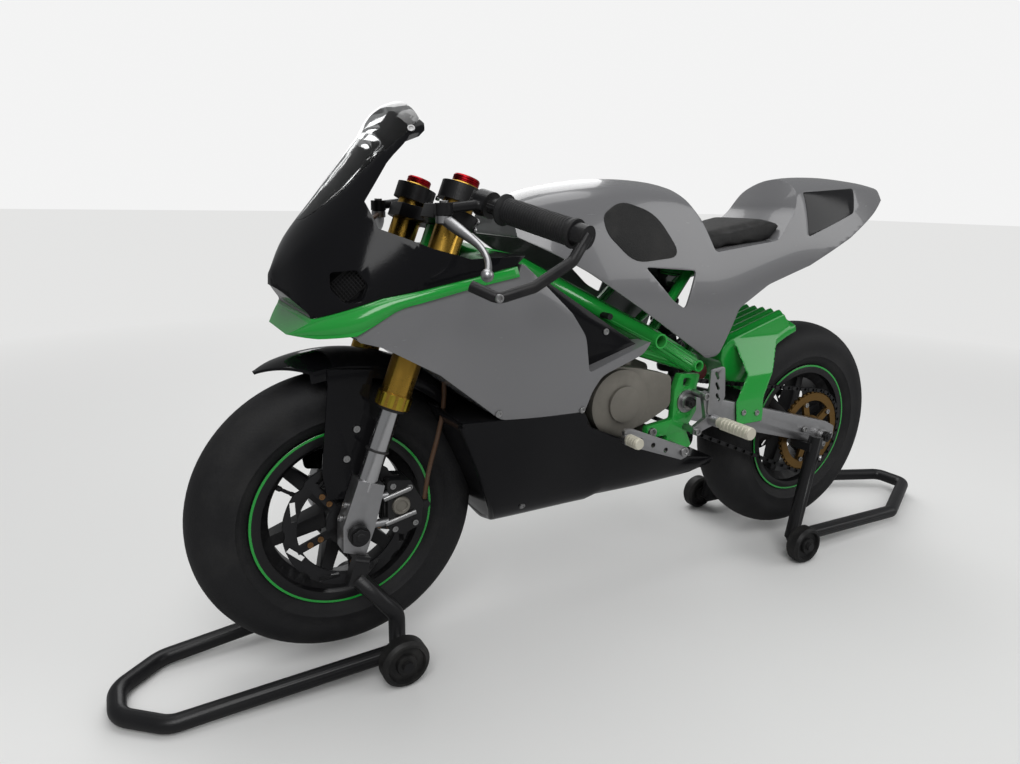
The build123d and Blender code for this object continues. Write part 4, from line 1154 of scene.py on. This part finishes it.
dressed["hugger"] = makeHugger(huggerShape)
print("rear mudguard ready")


# Places on a dressed piece are found by shooting at it from outside

bpy.context.view_layer.update()


def seatOn(node, start, way):
    hit, spot, normal, number = dressed[node].ray_cast(start, Vector(way).normalized())
    if not hit:
        print("nothing met on", node, start)
        return start, -Vector(way)
    return spot, normal


def sideSpot(node, x, z, side):
    return seatOn(node, at(x, 320 * side, z), (0, -side, 0))


def fromSide(node, x, z, side, radius, height):
    return *sideSpot(node, x, z, side), radius, height


capBolt = makeBolt(20, 0.42, -0.45)
hexNut = makeBolt(6, 0.4, 0.45)

# Screws and bolts on a piece, on both sides: node, x, z, radius, height
panelScrews = [
    ("side_fairings", -188.9, 411.6, 5, 2.6), ("side_fairings", -340.5, 394.5, 5, 2.6),
    ("inner_panels", -394, 508, 5, 2.6), ("upper_fairing", -89.7, 789, 5, 2.6),
    ("hugger", -747, 322.7, 5.5, 3), ("hugger", -782.6, 318, 5.5, 3),
    ("seat_unit", -300, 672, 5, 2.6), ("belly_pan", -262, 236, 5, 2.6)]
fenderScrews = [("front_fender", -13, 387, 5, 3), ("front_fender", 3, 345, 5, 3)]
frameBolts = [("side_plates", -510, 324, 8, 6), ("swingarm", -931, 262, 6, 5), ("swingarm", -1015, 239, 5, 4)]
standBolts = [("rear_stand", rearAxleX + 42, 210, 6, 5)]
# Bolts at known places: x, y on the left, z, radius, height
footBolts = [(-586, 148, 323, 6.5, 5), (-599, 148, 384, 6.5, 5), (-553, 155, 294, 8, 4)]
rootNuts = [(-583, 128, 370, 10, 7), (rearAxleX, 110, axleHeight, 11, 7)]
caliperBolts = {"size": (4.5, 3), "places": ((-60, 296), (-86, 290), (-62, 228), (-94, 232))}
yokeBolts = {
    # ahead of the fork's line, across, heights, spread, radius, height
    "yoke": (1.5, 99, (340, 462), 6, 4.5, 4), "clipOn": (-2, 71, (495,), 7, 4, 5)}
feetBolts = {"ahead": 120, "across": 85, "heights": (14, 34), "size": (5, 5)}


def bothSides(table):
    return [fromSide(node, x, z, side, *size) for node, x, z, *size in table for side in sides]


def outward(table):
    return [(at(x, y * side, z), left * side, *size) for x, y, z, *size in table for side in sides]


scatter("panelScrews", capBolt, bothSides(panelScrews), "root", "steel")
plateBolts = bothSides(frameBolts) + outward(footBolts) + bothSides(standBolts)
scatter("plateBolts", capBolt, plateBolts, "root", "steel")
scatter("pivotNuts", hexNut, outward(rootNuts), "root", "dark_steel")

forkScrews = bothSides(fenderScrews)
for side in sides:
    for ahead, across, heights, spread, *size in yokeBolts.values():
        for s in heights:
            for rise in (-spread, spread):
                forkScrews.append((onFork(ahead, side * across, s + rise), -forkAhead, *size))
    for s in feetBolts["heights"]:
        start = onFork(feetBolts["ahead"], side * feetBolts["across"], s)
        forkScrews.append((*seatOn("fork_feet", start, -forkAhead), *feetBolts["size"]))
    forkScrews.append((at(-122, side * 128, 698), upward, 6, 3))
    forkScrews.append((at(-115, side * 294, 595), left * side, 5, 4))
for x, z in caliperBolts["places"]:
    forkScrews.append(fromSide("front_caliper", x, z, 1, *caliperBolts["size"]))
scatter("forkScrews", capBolt, forkScrews, "steering", "steel")
axleNuts = [(at(0, 110, axleHeight), left, 13, 4), (at(0, -114, axleHeight), -left, 10, 6)]
scatter("frontAxleNut", hexNut, axleNuts, "steering", "dark_steel")


def roundHub(x, y, ring, first, way, size):
    # Five bolts round an axle, the first one at its angle
    places = []
    for n in range(5):
        swing = radians(72 * n + first)
        spot = at(x + ring * cos(swing), y, axleHeight - ring * sin(swing))
        places.append((spot, way, *size))
    return places


# Disc bobbins, sprocket bolts and rear disc bolts
bobbins = roundHub(0, 60, 62, 20, left, (4.4, 2.4)) + roundHub(0, 60, 46, 20, left, (4.4, 2.4))
hubBolts = roundHub(rearAxleX, 70, 62, 0, left, (5, 3.5)) + roundHub(rearAxleX, -64, 50, 0, -left, (4, 2.4))
scatter("discBobbins", capBolt, bobbins, "front_wheel", "bronzeBolt")
scatter("rearWheelBolts", capBolt, hubBolts, "rear_wheel", "steel")
discard(capBolt, hexNut)
print("screws and bolts ready")


# Front caliper: bridging pins and the round cover
caliper = {
    "pins": [((-45, 279), (-86, 289)), ((-47, 240), (-94, 250))], "pinY": 82.5, "pinRadius": 4.2,
    "cover": [(0, 80), (14, 80), (14, 83), (12.5, 85), (9, 85), (8, 83.5), (0, 83.5)],
    "coverPlace": (-72, 0, 264)}
for number, (near, far) in enumerate(caliper["pins"]):
    halfway = ((near[0] + far[0]) / 2, (near[1] + far[1]) / 2)
    route = [at(x, caliper["pinY"], z) for x, z in (near, halfway, far)]
    tube("caliperPin" + str(number), route, caliper["pinRadius"], "steering", "steel")
lathe("caliperCover", caliper["cover"], at(*caliper["coverPlace"]), left, "steering", "cover_alloy", 40)

# Toe pegs on the foot levers, and a washer under each pivot nut
toePeg = [(7.05, 160), (9, 160)]
for n in range(4):
    toePeg += [(9.6, 161.5 + 6 * n), (9.6, 165 + 6 * n), (8.6, 165.6 + 6 * n), (8.6, 166.4 + 6 * n)]
toePeg += [(9, 186), (8, 187.5), (0, 187.5), (0, 186.5), (7.05, 186.5)]
pivotWasher = [(13.05, 118.1), (20, 118.1), (20, 120.4), (13.05, 120.4)]
for side in sides:
    lathe("toePeg" + sideName[side], toePeg, at(-428, 0, 336), left * side, "root", "peg_alloy", 32, 25)
    lathe("pivotWasher" + sideName[side], pivotWasher, at(-583, 0, 370), left * side, "root", "alloy", 48)


# Vents: a box and a lattice behind each opening in the upper fairing

vent = {
    "middle": (1.2, 117.4, 592), "normal": (0.64, 0.765, 0.15), "sunk": 0.005, "deep": 0.009, "proud": 0.002,
    "wall": 0.001, "cells": 20, "size": 0.085, "wire": 0.0013,
    "outline": [(25, 610), (-6, 614.5), (-17, 596), (-9, 575.5), (12, 571.5), (27, 590)]}


def addVent(given, side):
    x, y, z = given["normal"]
    normal = Vector((x, y * side, z)).normalized()
    x, y, z = given["middle"]
    middle = at(x, y * side, z) - normal * given["sunk"]
    outline = given["outline"]
    deselectAll()
    bpy.ops.mesh.primitive_grid_add(x_subdivisions=given["cells"], y_subdivisions=given["cells"],
                                    size=given["size"])
    lattice = bpy.context.object
    placeTurned(lattice, middle, normal, Matrix.Rotation(radians(45), 4, "Z"))
    startEdit(lattice)
    for (ax, az), (bx, bz) in zip(outline, outline[1:] + outline[:1]):
        bpy.ops.mesh.select_all(action="SELECT")
        bpy.ops.mesh.bisect(plane_co=at(ax, 0, az), plane_no=(bz - az, 0, ax - bx), clear_outer=True)
    endEdit()
    rim = []
    for x, z in outline:
        corner = at(x, 0, z)
        away = corner - middle
        corner.y = middle.y - (away.x * normal.x + away.z * normal.z) / normal.y
        rim.append(corner - normal * given["deep"])
    box = startLoop(rim, "NGON")
    bpy.ops.mesh.select_all(action="SELECT")
    push = normal * (given["deep"] + given["proud"])
    bpy.ops.mesh.extrude_region_move(TRANSFORM_OT_translate={"value": push})
    bpy.ops.mesh.delete(type="ONLY_FACE")
    faceOutwards()
    endEdit()
    applyModifier(box, "SOLIDIFY", thickness=given["wall"], offset=1)
    finishPiece(box, "ventBox" + sideName[side], "root", "black_plastic", 30)
    applyModifier(lattice, "WIREFRAME", thickness=given["wire"], use_replace=True, use_boundary=True)
    finishPiece(lattice, "ventLattice" + sideName[side], "root", "dark_steel", 30)


for side in sides:
    addVent(vent, side)
print("vents ready")


# Rolled lip round the front of the belly pan

lip = {"edge": [(-137, 398), (-222, 212), (-241, 184)], "steps": 5, "back": 4, "down": 2, "sunk": 0.0065,
       "ahead": Vector((0.002, 0, 0)), "radius": 7}


def lipPath(given):
    points = []
    for side in sides:
        run = []
        for (ax, az), (bx, bz) in zip(given["edge"], given["edge"][1:]):
            for n in range(given["steps"]):
                share = n / given["steps"]
                x, z = ax + (bx - ax) * share - given["back"], az + (bz - az) * share - given["down"]
                spot, normal = sideSpot("belly_pan", x, z, side)
                run.append(spot - normal * given["sunk"] + given["ahead"])
        points += run if side > 0 else run[::-1]
    return points


tube("bellyLip", lipPath(lip), lip["radius"], "root", "black_panel", roundness=4)

# Convex roll along the green band
roll = {"xs": (72, 58, 40, 20, 0, -20, -40, -60, -90, -120, -150, -180, -208), "radius": 12, "sunk": 0.0006,
        "fill": 1.02, "nose": bandTop[1], "noseFall": 0.97}


def heightAt(line, x):
    # Height of a falling line of points at one x
    for (ax, az), (bx, bz) in zip(line, line[1:]):
        if bx <= x <= ax:
            return az + (bz - az) * (ax - x) / (ax - bx)
    return line[-1][1]


for side in sides:
    spots, swell = [], []
    noseX, noseZ = roll["nose"]
    for x in roll["xs"]:
        low, high = heightAt(bandLow, x), heightAt(bandTop, x)
        if x > noseX:
            high = min(high, noseZ - (x - noseX) * roll["noseFall"])
        half = (high - low) / 2
        spot, normal = sideSpot("fairing_band", x, low + half, side)
        spots.append(spot - normal * half * roll["sunk"])
        swell.append(half * roll["fill"] / roll["radius"])
    tube("bandRoll" + sideName[side], spots, roll["radius"], "root", "green_paint", swell, 5)
print("lip and rolls ready")


# Slots in the heel plates and holes in the foot levers

slotTable = {
    # node: x, z, length, width and turn of each, cut through both sides
    "rearsets": [(-619, 419, 17, 6, 60), (-622, 400, 17, 6, 60), (-625, 380, 17, 6, 60)],
    "foot_levers": [(-456, 329, 9, 8.9, 0), (-484, 316, 9, 8.9, 0), (-512, 303, 9, 8.9, 0)]}


def cutSlots(node, places):
    for x, z, length, width, turn in places:
        middle = at(x, 0, z)
        cutter = addCylinder(vertices=24, radius=width / 2000, depth=0.4, rotation=(pi / 2, 0, 0),
                             location=middle)
        mesh = startEdit(cutter, "VERT")
        way = Vector((cos(radians(turn)), 0, sin(radians(turn))))
        for vert in mesh.verts:
            ahead = 1 if (vert.co - middle).dot(way) > 0 else -1
            vert.co += way * ((length - width) / 2000 * ahead)
        bmesh.update_edit_mesh(cutter.data)
        endEdit()
        combine(dressed[node], cutter, "DIFFERENCE")
    onlySelect(dressed[node])
    bpy.ops.object.shade_smooth_by_angle(angle=radians(32))


for node, places in slotTable.items():
    cutSlots(node, places)
print("slots ready")
